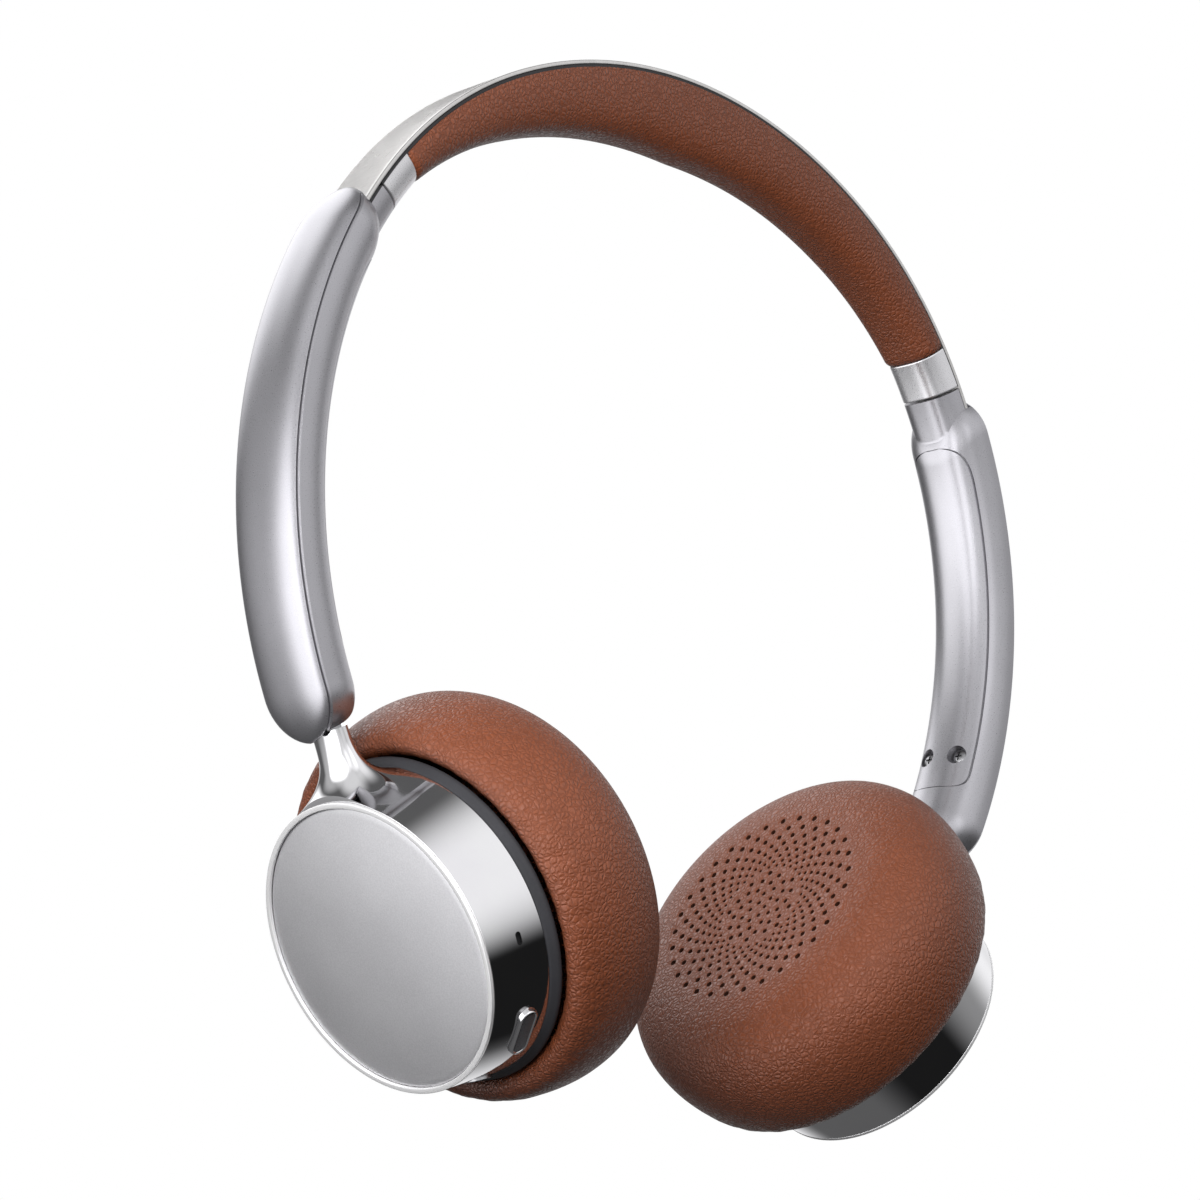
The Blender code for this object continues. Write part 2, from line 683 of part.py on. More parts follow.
def make_knuckle(side_name, side, carrier):
    name = "hinge_knuckle_" + side_name
    centre = hinge_point(side)
    knuckle = y_cylinder(name, centre, KNUCKLE_RADIUS, POCKET_WIDTH / 2 - 0.3 * MM, "screw_steel", carrier, 20)
    neck = neck_frame(side)
    foot = neck @ Vector((0, 0, 20.6 * MM))
    stem = cylinder(name + "_stem", foot, centre, STEM_RADIUS, SMALL_ROUND_STEPS, None, carrier)
    boolean(knuckle, stem, "UNION")
    cut(knuckle, y_cylinder(name + "_bore", centre, PIN_RADIUS + 0.25 * MM, 8 * MM, None, carrier))
    retainer = [(STEM_RADIUS + 0.15 * MM, 20.7 * MM), (2.8 * MM, 20.7 * MM), (2.8 * MM, 21.5 * MM),
                (STEM_RADIUS + 0.15 * MM, 21.5 * MM)]
    turned("swivel_retainer_" + side_name, retainer, SMALL_ROUND_STEPS, neck, "spring_steel", carrier)


def make_side(side_name, side):
    slide = pivot("slider_axis_" + side_name, Matrix.Translation(arc_centre(side)))
    make_arm_body(side_name, side, slide)
    make_arm_outer_cover(side_name, side, slide)
    make_arm_inner_cover(side_name, side, slide)
    make_arm_screws(side_name, side, slide)
    make_detent_spring(side_name, side, slide)
    make_hinge_pin(side_name, side, slide)
    tilt = pivot("tilt_axis_" + side_name, Matrix.Translation(hinge_point(side)), slide)
    make_knuckle(side_name, side, tilt)
    swivel = pivot("swivel_axis_" + side_name, Matrix.Translation(hinge_point(side)), tilt)
    make_cup_housing(side_name, side, swivel)
    make_trim_ring(side_name, side, swivel)
    make_cup_plate(side_name, side, swivel)
    make_seal_ring(side_name, side, swivel)
    make_baffle(side_name, side, swivel)
    make_driver(side_name, side, swivel)
    make_ear_pad(side_name, side, swivel)
    return swivel


def main():
    clear_scene()
    make_steel_band()
    make_headband_frame()
    make_headband_cushion()
    carriers = {}
    for side_name, side in SIDES.items():
        make_end_cap(side_name, side)
        make_band_stop(side_name, side)
        carriers[side_name] = make_side(side_name, side)
    for name in button_layout():
        make_button(name, SIDES["right"], carriers["right"])
    make_usb_port(SIDES["right"], carriers["right"])
    make_microphone(SIDES["right"], carriers["right"])
    make_electronics(carriers)


main()
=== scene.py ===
"""Looks of the on-ear headphones: fine shells, soft pads, materials, light and camera.

+Z is up, +X is the wearer's left and -Y is the front. Lengths are metres. Places along the
headband are angles in degrees between its outer surface's normal and the vertical.
"""

import json
import math

import bmesh
import bpy
import numpy as np
from mathutils import Matrix, Vector
from mathutils.geometry import delaunay_2d_cdt


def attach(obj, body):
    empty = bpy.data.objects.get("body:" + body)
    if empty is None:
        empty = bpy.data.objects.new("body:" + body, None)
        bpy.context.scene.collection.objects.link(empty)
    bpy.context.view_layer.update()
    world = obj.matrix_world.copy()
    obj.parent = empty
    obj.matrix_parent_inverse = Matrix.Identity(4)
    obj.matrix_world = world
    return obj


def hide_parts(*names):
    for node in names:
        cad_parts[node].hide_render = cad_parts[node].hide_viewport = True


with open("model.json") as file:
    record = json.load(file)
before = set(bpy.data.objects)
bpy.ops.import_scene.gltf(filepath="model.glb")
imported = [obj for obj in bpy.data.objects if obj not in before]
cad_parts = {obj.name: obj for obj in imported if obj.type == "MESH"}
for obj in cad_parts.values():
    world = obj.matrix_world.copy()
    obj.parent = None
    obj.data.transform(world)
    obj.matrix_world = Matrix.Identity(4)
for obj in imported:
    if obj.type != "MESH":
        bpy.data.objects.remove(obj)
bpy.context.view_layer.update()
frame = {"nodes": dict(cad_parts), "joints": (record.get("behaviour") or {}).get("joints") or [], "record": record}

MM = 0.001
SIDES = {"left": 1, "right": -1}
FRONT = np.array([0.0, -1.0, 0.0])

# Outline of the band's outer surface, as the frame has it
CROWN_HEIGHT = 13.0 * MM
ARCS = ((84.0 * MM, 30.0), (73.2 * MM, 56.0), (82.6 * MM, 180.0))
ARM_RADIUS = ARCS[-1][0]

# Headband, as depths below the band's outer surface
BAND_WIDTH = 10.5 * MM
BAND_THICKNESS = 0.75 * MM
BAND_END = 103.0
STRIP_WIDTH = 10.5 * MM
CUSHION_WIDTH = 11.4 * MM
CUSHION_TOP = -1.25 * MM
CUSHION_DEPTH = 13.0 * MM
CUSHION_END_DEPTH = 6.3 * MM
CUSHION_END = 52.35
CAP_START = 52.5
CAP_END = 58.1

# Arms
ARM_START = 58.4
COVER_START = 59.4
SHOULDER_START = 61.06
ARM_END = 120.3
TUBE_WIDTH = 10.8 * MM
TUBE_DEPTH = 6.3 * MM
TUBE_TOP = -1.15 * MM
TUBE_EXPONENT = 3.0
ARM_WIDTH = 14.6 * MM
ARM_INNER = 6.9 * MM
ARM_OUTER = 2.7 * MM
ARM_EXPONENT = 2.6
ARM_SEAM = 1.0 * MM
END_ROUNDING = 7.3 * MM
SHOULDER_SLANT = 3.0
SEAM_GAP = 0.03 * MM
SEAM_BEVEL = 0.22 * MM
CHANNEL_HALF = 5.45 * MM
CHANNEL_FLOOR = -2.1 * MM
CHANNEL_END = 108.6
LID_START = 61.9
LID_ARCH = 8.3
LID_END = 111.8
LID_CORNER = 2.6
LID_SIDE = 38.0
LID_THICKNESS = 0.085
SCREW_ANGLE = 107.0
SCREW_OFFSET = 3.3 * MM
SCREW_RECESS = 1.7 * MM
SCREW_RADIUS = 1.42 * MM
SCREW_DEPTH = 5.65 * MM
GUIDE_HALF = 5.1 * MM
GUIDE_END = 104.0

# Pocket for the cup's neck at an arm's end, and the cover's thickness over it
POCKET_SKIN = 0.55 * MM
POCKET_START = 109.8
POCKET_HALF = 4.3 * MM
POCKET_FLOOR = -6.0 * MM
POCKET_TOP = 2.0 * MM

# Cups. Heights are along the cup's axis from its centre plane, positive away from the head.
CUP_DROP = 41.3 * MM
NECK_HEIGHT = 2.9 * MM
NECK_RADIUS = 3.5 * MM
NECK_TOP = 32.6 * MM
NECK_HALF_DEPTH = 2.0 * MM
NECK_FLARE = 9.0 * MM
NECK_BLEND = 7.2 * MM
NECK_FOOT = 22.0 * MM
FLARE_SHARE = 0.32
FLARE_LOW = 15.0 * MM
SOFT_START = 13.0 * MM
SOFT_REACH = 5.0 * MM
SOFT_EDGE_END = 25.0 * MM
RIM_RADIUS = 22.9 * MM
RIM_HEIGHT = 6.6 * MM
RIM_TOP = 7.45 * MM
SKIRT_RADIUS = 24.6 * MM
SKIRT_HEIGHT = -2.1 * MM
PLATE_RADIUS = 21.8 * MM
PLATE_DOME = 1.2 * MM
SEAL_RADIUS = 25.3 * MM
SEAL_HEIGHT = -3.6 * MM
SEAL_INNER = 21.0 * MM
PAD_FACE_RADIUS = 18.9 * MM
PAD_FRONT = -26.6 * MM
BUTTON_HEIGHT = 1.4 * MM
BUTTON_GAP = 0.3 * MM
BUTTONS = {
    "mode_button": (133.5, 8.8 * MM, 3.2 * MM),
    "volume_up_button": (240.0, 5.6 * MM, 3.2 * MM),
    "power_button": (221.0, 5.6 * MM, 3.2 * MM),
    "volume_down_button": (202.0, 5.6 * MM, 3.2 * MM),
}
PORT = (176.0, 9.8 * MM, 4.0 * MM)
MICROPHONE = (95.5, 2.0 * MM, 0.9 * MM, 2.0 * MM)
OPENING_DEPTH = 4.0 * MM

# How the housing's open edges fold inwards, as (inset, rise) in millimetres
RIM_FOLD = ((0.06, 0.04), (0.5, 0.04), (2.4, -0.9))
SKIRT_FOLD = ((0.1, 0.0), (1.2, 0.0), (3.4, 7.5))

# Edges sharper than this, in degrees, are shaded as edges
SHARP = 32


# ------------------------------------------------------------------ mesh tools


def make_mesh(name, points, faces, uvs):
    """Mesh from world points and faces, with a (u, v) in metres for each face corner."""
    mesh = bpy.data.meshes.new(name)
    mesh.from_pydata([tuple(point) for point in points], [], [tuple(face) for face in faces])
    layer = mesh.uv_layers.new(name="surface")
    layer.data.foreach_set("uv", np.asarray(uvs, dtype=np.float32).ravel())
    mesh.validate()
    mesh.shade_smooth()
    mesh.set_sharp_from_angle(angle=math.radians(SHARP))
    return mesh


def skin(rings, wrap=False):
    """Points, faces and UVs of a skin through closed rings; U runs along it and V around it."""
    rings = np.asarray(rings)
    rows, columns = rings.shape[:2]
    middle = rings.mean(axis=1)
    along = np.concatenate([[0], np.cumsum(np.linalg.norm(np.diff(middle, axis=0), axis=1))])
    widest = rings[np.argmax(np.ptp(rings, axis=1).max(axis=1))]
    steps = np.linalg.norm(np.roll(widest, -1, axis=0) - widest, axis=1)
    around = np.concatenate([[0], np.cumsum(steps)])
    faces = []
    uvs = []
    for row in range(rows if wrap else rows - 1):
        here, there = row * columns, ((row + 1) % rows) * columns
        near = along[row]
        far = along[row + 1] if row + 1 < rows else near + (near - along[row - 1])
        for column in range(columns):
            beside = (column + 1) % columns
            faces.append((here + column, here + beside, there + beside, there + column))
            uvs += [(near, around[column]), (near, around[column + 1]),
                    (far, around[column + 1]), (far, around[column])]
    if not wrap:
        for end in (range(columns)[::-1], range((rows - 1) * columns, rows * columns)):
            faces.append(tuple(end))
            uvs += [(0, 0)] * columns
    return rings.reshape(-1, 3), faces, uvs


def fix_normals(mesh):
    work = bmesh.new()
    work.from_mesh(mesh)
    bmesh.ops.remove_doubles(work, verts=work.verts, dist=0.5e-6)
    bmesh.ops.recalc_face_normals(work, faces=work.faces)
    work.to_mesh(mesh)
    work.free()


def make_object(name, mesh):
    item = bpy.data.objects.new(name, mesh)
    bpy.context.collection.objects.link(item)
    return item


def ring_object(name, rings, wrap=False):
    return make_object(name, make_mesh(name, *skin(rings, wrap)))


def finish_piece(item, body, slot, replaced=(), sharp=SHARP, material=None):
    """Gives a piece its material, the slot's unless another is named, and its body, and hides the nodes it stands
    for.
    """
    fix_normals(item.data)
    item.data.shade_smooth()
    item.data.set_sharp_from_angle(angle=math.radians(sharp))
    if not item.data.materials:
        item.data.materials.append(MATERIALS[material or slot])
    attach(item, body)
    if replaced:
        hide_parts(*replaced)


def make_piece(name, rings, body, slot, replaced=(), sharp=SHARP, wrap=False):
    """A finished piece whose surface is the skin through some rings."""
    finish_piece(ring_object(name, rings, wrap), body, slot, replaced, sharp)


def cut(item, cutters):
    """Subtracts from an object the solids whose rings are given."""
    fix_normals(item.data)
    tools = [ring_object("cutter", rings) for rings in cutters]
    for tool in tools:
        fix_normals(tool.data)
        modifier = item.modifiers.new("cut", "BOOLEAN")
        modifier.operation = "DIFFERENCE"
        modifier.solver = "EXACT"
        modifier.object = tool
    bpy.context.view_layer.update()
    evaluated = item.evaluated_get(bpy.context.evaluated_depsgraph_get())
    mesh = bpy.data.meshes.new_from_object(evaluated)
    item.modifiers.clear()
    item.data = mesh
    for tool in tools:
        bpy.data.objects.remove(tool, do_unlink=True)


def rounded(corners, radius, steps=4):
    """A polyline with its inner corners rounded off over radius."""
    corners = [np.array(corner, dtype=float) for corner in corners]
    result = [corners[0]]
    for before, here, after in zip(corners, corners[1:], corners[2:]):
        back, on = before - here, after - here
        start = here + back * min(0.45, radius / np.linalg.norm(back))
        end = here + on * min(0.45, radius / np.linalg.norm(on))
        for share in np.linspace(0, 1, steps + 1):
            result.append((1 - share) ** 2 * start + 2 * share * (1 - share) * here + share ** 2 * end)
    return np.array(result + [corners[-1]])


def spline(points, per_span):
    """Smooth curve through points."""
    points = np.asarray(points, dtype=float)
    padded = np.vstack([2 * points[0] - points[1], points, 2 * points[-1] - points[-2]])
    result = []
    for index in range(len(points) - 1):
        before, start, end, after = padded[index:index + 4]
        for share in np.arange(per_span) / per_span:
            result.append(0.5 * (2 * start + (end - before) * share
                                 + (2 * before - 5 * start + 4 * end - after) * share ** 2
                                 + (3 * start - before - 3 * end + after) * share ** 3))
    return np.array(result + [points[-1]])


def turned(profile, place, steps):
    """Skin of revolution: rings of (radius, height) about the third axis of place."""
    turns = np.linspace(0, 2 * math.pi, steps, endpoint=False)
    circle = np.stack([np.cos(turns), np.sin(turns)], axis=1)
    return [transform(place, np.column_stack([radius * circle, np.full(steps, height)]))
            for radius, height in profile]


def transform(place, points):
    matrix = np.array(place)
    return np.asarray(points) @ matrix[:3, :3].T + matrix[:3, 3]


def place_of(beside, along, out, centre):
    matrix = Matrix.Identity(4)
    for column, axis in enumerate((beside, along, out, centre)):
        for row in range(3):
            matrix[row][column] = axis[row]
    return matrix


# ---------------------------------------------------------------- band outline


def outline(angle):
    """x and z on the band's outer surface at unsigned angles in degrees."""
    angle = np.asarray(angle, dtype=float)
    x = np.zeros_like(angle)
    z = np.full_like(angle, CROWN_HEIGHT)
    start = 0.0
    for radius, end in ARCS:
        stop = np.clip(angle, start, end)
        x += radius * (np.sin(np.radians(stop)) - math.sin(math.radians(start)))
        z -= radius * (math.cos(math.radians(start)) - np.cos(np.radians(stop)))
        start = end
    return x, z


def band_points(angle, across, height):
    """World points at signed angles along the band, across it and above its outer surface."""
    angle, across, height = np.broadcast_arrays(angle, across, height)
    x, z = outline(np.abs(angle))
    lean = np.radians(angle)
    side = np.sign(angle) * x + height * np.sin(lean)
    return np.stack([side, across, z + height * np.cos(lean)], axis=-1)


def sweep(corners, start, end, steps):
    """Rings along the band of one section, given as (across, height) corners."""
    across, height = np.transpose(corners)
    return [band_points(angle, across, height) for angle in np.linspace(start, end, steps + 1)]


def box(half, low, high):
    """Corners of a section from low to high, with the same half width all the way."""
    return [(half, low), (half, high), (-half, high), (-half, low)]


def oval(turn, half_width, depth, exponent):
    """Squarish half oval below the band's surface: turn 0 is its +Y side and pi its -Y side."""
    cosine, sine = np.cos(turn), np.abs(np.sin(turn))
    across = np.sign(cosine) * np.abs(cosine) ** (2 / exponent) * half_width
    return np.stack([across, -depth * sine ** (2 / exponent)], axis=-1)


def turn_at(height, depth, exponent):
    return math.asin(min(1.0, abs(height / depth)) ** (exponent / 2))


def shrunk(ring, amount):
    """A ring pulled towards its own middle, for the rounded edge of an end face."""
    middle = ring.mean(axis=0)
    reach = np.linalg.norm(ring - middle, axis=1, keepdims=True)
    return middle + (ring - middle) * np.clip(1 - amount / reach, 0, 1)


def eased_end(ring, inward, amount):
    """Three rings that round off an end face, from its rim inwards."""
    shifted = shrunk(ring + inward * amount * 0.3, amount * 0.3)
    return [shrunk(ring, amount), shifted, ring + inward * amount]


def eased_ends(rings, amount):
    """Rings with a small rounded edge added at both ends."""
    inward = (rings[1] - rings[0]).mean(axis=0)
    outward = (rings[-1] - rings[-2]).mean(axis=0)
    opening = eased_end(rings[0], inward / np.linalg.norm(inward), amount)
    closing = eased_end(rings[-1], -outward / np.linalg.norm(outward), amount)
    return opening + rings[1:-1] + closing[::-1]


# ------------------------------------------------------------------- materials


def add(tree, kind, inputs=None, **settings):
    """A shader node; inputs maps its input names or numbers to values or to other nodes' outputs."""
    made = tree.nodes.new(kind)
    for key, value in settings.items():
        setattr(made, key, value)
    for key, value in (inputs or {}).items():
        if isinstance(value, bpy.types.NodeSocket):
            tree.links.new(value, made.inputs[key])
        else:
            made.inputs[key].default_value = value
    return made


def ramp(tree, factor, stops):
    """Colour ramp through (position, colour) stops."""
    made = add(tree, "ShaderNodeValToRGB", {0: factor})
    elements = made.color_ramp.elements
    while len(elements) < len(stops):
        elements.new(0.5)
    for element, (position, colour) in zip(elements, stops):
        element.position = position
        element.color = (*colour, 1.0)
    return made.outputs[0]


def remap(tree, value, low, high, to_low, to_high):
    return add(tree, "ShaderNodeMapRange", {0: value, 1: low, 2: high, 3: to_low, 4: to_high}).outputs[0]


def blend(tree, share, first, second):
    """Mix of two numbers."""
    inputs = {"Factor": share, "A": first, "B": second}
    return add(tree, "ShaderNodeMix", inputs, data_type="FLOAT").outputs[0]


def vector_math(tree, operation, inputs):
    return add(tree, "ShaderNodeVectorMath", inputs, operation=operation)


def new_material(name):
    material = bpy.data.materials.new(name)
    material.use_nodes = True
    tree = material.node_tree
    return material, tree, tree.nodes["Principled BSDF"]


def set_inputs(tree, shader, **values):
    for key, value in values.items():
        socket = shader.inputs[key.replace("_", " ")]
        if isinstance(value, bpy.types.NodeSocket):
            tree.links.new(value, socket)
        else:
            socket.default_value = value


def position(tree):
    return add(tree, "ShaderNodeTexCoord").outputs["Object"]


def surface(tree, scale):
    """UV coordinates in metres, stretched by scale."""
    source = add(tree, "ShaderNodeUVMap", uv_map="surface").outputs[0]
    return add(tree, "ShaderNodeMapping", {0: source, 3: scale}).outputs[0]


def noise(tree, vector, scale, detail=3.0, rough=0.5, distortion=0.0):
    inputs = {"Vector": vector, "Scale": scale, "Detail": detail, "Roughness": rough,
              "Distortion": distortion}
    return add(tree, "ShaderNodeTexNoise", inputs).outputs[0]


def bump(tree, height, strength, distance, below=None):
    inputs = {"Height": height, "Strength": strength, "Distance": distance}
    if below is not None:
        inputs["Normal"] = below
    return add(tree, "ShaderNodeBump", inputs).outputs[0]


def brushed_steel():
    """Stainless strip: fine scratches across it, clouded by uneven brushing."""
    material, tree, shader = new_material("brushed_steel")
    lines = noise(tree, surface(tree, (9000, 260, 1)), 1.0, 4, 0.7)
    coarse = noise(tree, surface(tree, (2600, 90, 1)), 1.0, 3, 0.6)
    clouds = noise(tree, position(tree), 320, 4, 0.6, 0.6)
    scratches = blend(tree, 0.45, lines, coarse)
    tone = blend(tree, 0.4, scratches, clouds)
    colour = ramp(tree, tone, [(0.3, (0.50, 0.49, 0.475)), (0.55, (0.64, 0.63, 0.615)),
                               (0.75, (0.78, 0.77, 0.755))])
    set_inputs(tree, shader, Base_Color=colour, Metallic=1.0,
               Roughness=remap(tree, tone, 0.3, 0.7, 0.22, 0.42), Anisotropic=0.6,
               Normal=bump(tree, scratches, 0.22, 0.00006))
    return material


def satin(name, dark, light, roughness, grain, coat, metallic=0.92):
    """Fine metallic paint: tiny flakes, a slow drift of tone and a thin clear coat."""
    material, tree, shader = new_material(name)
    flakes = noise(tree, position(tree), grain, 2, 0.6)
    drift = noise(tree, position(tree), 70, 2)
    tone = blend(tree, 0.35, flakes, drift)
    colour = ramp(tree, tone, [(0.35, dark), (0.65, light)])
    set_inputs(tree, shader, Base_Color=colour, Metallic=metallic,
               Roughness=remap(tree, flakes, 0.3, 0.7, roughness - 0.04, roughness + 0.04),
               Normal=bump(tree, flakes, 0.10, 0.00004), Coat_Weight=coat, Coat_Roughness=0.35)
    return material


def chrome(name, tone, roughness):
    """Polished plating with faint polishing haze."""
    material, tree, shader = new_material(name)
    haze = noise(tree, position(tree), 90, 4, 0.6)
    fine = noise(tree, position(tree), 2500, 2)
    dull = tuple(tone * share for share in (0.96, 0.95, 0.97))
    colour = ramp(tree, haze, [(0.3, dull), (0.7, (tone, tone, tone))])
    set_inputs(tree, shader, Base_Color=colour, Metallic=1.0,
               Roughness=remap(tree, haze, 0.3, 0.7, roughness, roughness + 0.03),
               Normal=bump(tree, fine, 0.01, 0.00002))
    return material


LEATHER_SCALE = 1250.0
LEATHER_DARK = (0.128, 0.034, 0.0125)
LEATHER_LIGHT = (0.152, 0.042, 0.0170)
# Colour of the painted shade in the creases of the grain
LEATHER_CREASE_SHADE = (0.065, 0.018, 0.008, 1.0)


def leather():
    """Pebbled leather: small cells with painted shade in their creases, finer pores and a slow drift of tone."""
    material, tree, shader = new_material("leather")
    place = position(tree)
    wobble = add(tree, "ShaderNodeTexNoise", {"Vector": place, "Scale": 700.0, "Detail": 2.0}).outputs[1]
    centred = vector_math(tree, "SUBTRACT", {0: wobble, 1: (0.5, 0.5, 0.5)}).outputs[0]
    shift = vector_math(tree, "SCALE", {0: centred, 3: 0.0009}).outputs[0]
    bent = vector_math(tree, "ADD", {0: place, 1: shift}).outputs[0]
    pattern = {"Vector": bent, "Scale": LEATHER_SCALE}
    creases = add(tree, "ShaderNodeTexVoronoi", pattern, feature="DISTANCE_TO_EDGE").outputs[0]
    cells = add(tree, "ShaderNodeTexVoronoi", pattern, feature="SMOOTH_F1")
    pebble = remap(tree, creases, 0.0, 0.28, 0.0, 1.0)
    fine = noise(tree, place, 4200, 3, 0.6)
    broad = noise(tree, place, 110, 3, 0.55)
    height = blend(tree, 0.14, pebble, fine)
    swell = bump(tree, broad, 0.03, 0.0005)
    cell_tone = add(tree, "ShaderNodeSeparateColor", {0: cells.outputs["Color"]}).outputs[0]
    tone = blend(tree, 0.45, broad, cell_tone)
    colour = ramp(tree, tone, [(0.25, LEATHER_DARK), (0.75, LEATHER_LIGHT)])
    # Painted shade: the colour darkens towards the middle of each crease between the cells.
    depth = remap(tree, creases, 0.0, 0.10, 0.45, 0.0)
    crease_shaded = add(tree, "ShaderNodeMix", {0: depth, 6: colour, 7: LEATHER_CREASE_SHADE}, data_type="RGBA")
    set_inputs(tree, shader, Base_Color=crease_shaded.outputs[2], Normal=bump(tree, height, 0.70, 0.00016, swell),
               Roughness=remap(tree, height, 0.2, 0.9, 0.55, 0.36), Specular_IOR_Level=0.6)
    return material


def moulded(name, colour, roughness, metallic=0.0, grain=2600.0, strength=0.12):
    """Moulded or turned material with a fine surface texture and a little drift in tone."""
    material, tree, shader = new_material(name)
    fine = noise(tree, position(tree), grain, 3, 0.6)
    drift = noise(tree, position(tree), 120, 3)
    shade = ramp(tree, drift, [(0.3, tuple(value * 0.8 for value in colour)), (0.7, colour)])
    set_inputs(tree, shader, Base_Color=shade, Metallic=metallic,
               Roughness=remap(tree, fine, 0.3, 0.7, roughness - 0.06, roughness + 0.06),
               Normal=bump(tree, fine, strength, 0.00005))
    return material


MATERIALS = {
    "brushed_steel": brushed_steel(),
    "satin_silver": satin("satin_silver", (0.37, 0.365, 0.385), (0.45, 0.445, 0.47), 0.31, 5200.0, 0.2),
    # Painted light: the end caps get a much lighter copy of the satin silver, standing in for the light falling on
    # them.
    "cap_silver_lit": satin("cap_silver_lit", (0.66, 0.655, 0.67), (0.78, 0.775, 0.79), 0.30, 5200.0, 0.2),
    "plate_silver": satin("plate_silver", (0.64, 0.635, 0.65), (0.76, 0.755, 0.77), 0.44, 4200.0, 0.0),
    "chrome": chrome("chrome", 0.80, 0.045),
    "polished_rim": satin("polished_rim", (0.88, 0.875, 0.88), (0.95, 0.945, 0.95), 0.22, 5200.0, 0.0, 0.6),
    "leather": leather(),
    # Painted shade: a dark brown on the holes' walls and floors stands in for the shade inside the perforations.
    "leather_hole_shade": moulded("leather_hole_shade", (0.030, 0.009, 0.004), 0.8),
    "black_plastic": moulded("black_plastic", (0.012, 0.012, 0.013), 0.5),
    "dark_plastic": moulded("dark_plastic", (0.022, 0.022, 0.025), 0.62),
    "hinge_steel": moulded("hinge_steel", (0.42, 0.42, 0.43), 0.3, 1.0, 6000.0, 0.05),
    "spring_steel": moulded("spring_steel", (0.5, 0.48, 0.44), 0.3, 1.0, 3000.0, 0.05),
    "magnet": moulded("magnet", (0.25, 0.25, 0.26), 0.4, 1.0),
    "membrane": moulded("membrane", (0.3, 0.28, 0.24), 0.4),
    "circuit_board": moulded("circuit_board", (0.02, 0.12, 0.05), 0.5),
    "battery_foil": moulded("battery_foil", (0.55, 0.55, 0.58), 0.35, 0.6),
}


def dress_frame():
    """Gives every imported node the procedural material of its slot."""
    for entry in frame["record"]["subparts"]:
        node = frame["nodes"][entry["node"]]
        node.data.materials.clear()
        node.data.materials.append(MATERIALS[entry["material_slot"]])


# -------------------------------------------------------------------- headband


def make_steel_band():
    half = BAND_WIDTH / 2
    foot = [(0, -BAND_THICKNESS)]
    loop = rounded(foot + box(half, -BAND_THICKNESS, 0) + foot, 0.22 * MM)[:-1]
    top = [(across, 0.0) for across in np.linspace(half - 0.6 * MM, 0.6 * MM - half, 9)]
    middle = len(loop) // 2
    rings = sweep(np.vstack([loop[:middle], top, loop[middle:]]), -BAND_END, BAND_END, 260)
    make_piece("band_strip", rings, "headband", "brushed_steel", ["steel_band"])


def make_band_lining():
    """Black carrier between the steel and the leather, shut against both."""
    section = box(STRIP_WIDTH / 2, CUSHION_TOP - 0.25 * MM, -BAND_THICKNESS - 0.02 * MM)
    rings = sweep(section, -CAP_END, CAP_END, 120)
    make_piece("band_lining", rings, "headband", "black_plastic", ["headband_frame"])


def cushion_depth(angle):
    share = np.minimum(1.0, np.abs(angle) / CUSHION_END)
    return CUSHION_DEPTH - (CUSHION_DEPTH - CUSHION_END_DEPTH) * share ** 1.3


def cushion_section(angle):
    """D-shaped section of the cushion, drawn in a little where its end tucks behind a cap."""
    reach = math.radians(CUSHION_END - abs(angle)) * ARM_RADIUS
    tuck = 0.35 * MM * max(0.0, 1 - reach / (1.2 * MM)) ** 2
    depth = cushion_depth(angle) + CUSHION_TOP - tuck
    corners = oval(np.linspace(0, math.pi, 41), CUSHION_WIDTH / 2 - tuck, depth, 3.0)
    corners[:, 1] += CUSHION_TOP
    corners[:, 0] *= 1 - 0.04 * np.exp(-((corners[:, 1] - CUSHION_TOP) / (0.9 * MM)) ** 2)
    closing = [(across, CUSHION_TOP) for across in (-4 * MM, 0, 4 * MM)]
    return np.vstack([corners, closing])


def make_headband_cushion():
    """Padded leather sleeve."""
    ends = np.linspace(0, 1, 8) ** 2 * 1.5
    middle = np.linspace(-CUSHION_END + 2.2, CUSHION_END - 2.2, 150)
    angles = np.concatenate([-CUSHION_END + ends, middle, (CUSHION_END - ends)[::-1]])
    rings = [band_points(angle, *cushion_section(angle).T) for angle in angles]
    item = ring_object("headband_leather", rings)
    finish_piece(item, "headband", "leather", ["headband_cushion"], 60)


def make_end_cap(side_name, side):
    first = turn_at(TUBE_TOP, TUBE_DEPTH, TUBE_EXPONENT)
    corners = oval(np.linspace(first, math.pi - first, 40), TUBE_WIDTH / 2, TUBE_DEPTH, TUBE_EXPONENT)
    rings = eased_ends(sweep(corners, side * CAP_START, side * CAP_END, 24), 0.14 * MM)
    item = ring_object("cap_shell_" + side_name, rings)
    # The caps take the lighter copy of the satin silver, which paints light onto them.
    finish_piece(item, "headband", "satin_silver", ["end_cap_" + side_name], material="cap_silver_lit")


# ------------------------------------------------------------------------ arms


def ease(value):
    value = min(1.0, max(0.0, value))
    return value * value * (3 - 2 * value)


def end_factor(reach, least):
    """Width factor at a distance from a round end."""
    share = 1 - min(1.0, max(0.0, reach) / END_ROUNDING)
    return math.sqrt(max(least, 1 - share * share))


def cover_tip(angle):
    """Width factor of the domed cover, which starts as a rounded arch over the band."""
    return end_factor(math.radians(angle - COVER_START) * ARM_RADIUS, 0.03)


def arm_tip(angle):
    """Width factor that rounds an arm off at its lower end."""
    return end_factor(math.radians(ARM_END - angle) * ARM_RADIUS, 0.004)


def shoulder(angle):
    """0 on the slim tube above the arm's shoulder and 1 where the arm has its full width."""
    if angle <= SHOULDER_START:
        return 0.0
    return max(0.0, (ARM_WIDTH * cover_tip(angle) - TUBE_WIDTH) / (ARM_WIDTH - TUBE_WIDTH))


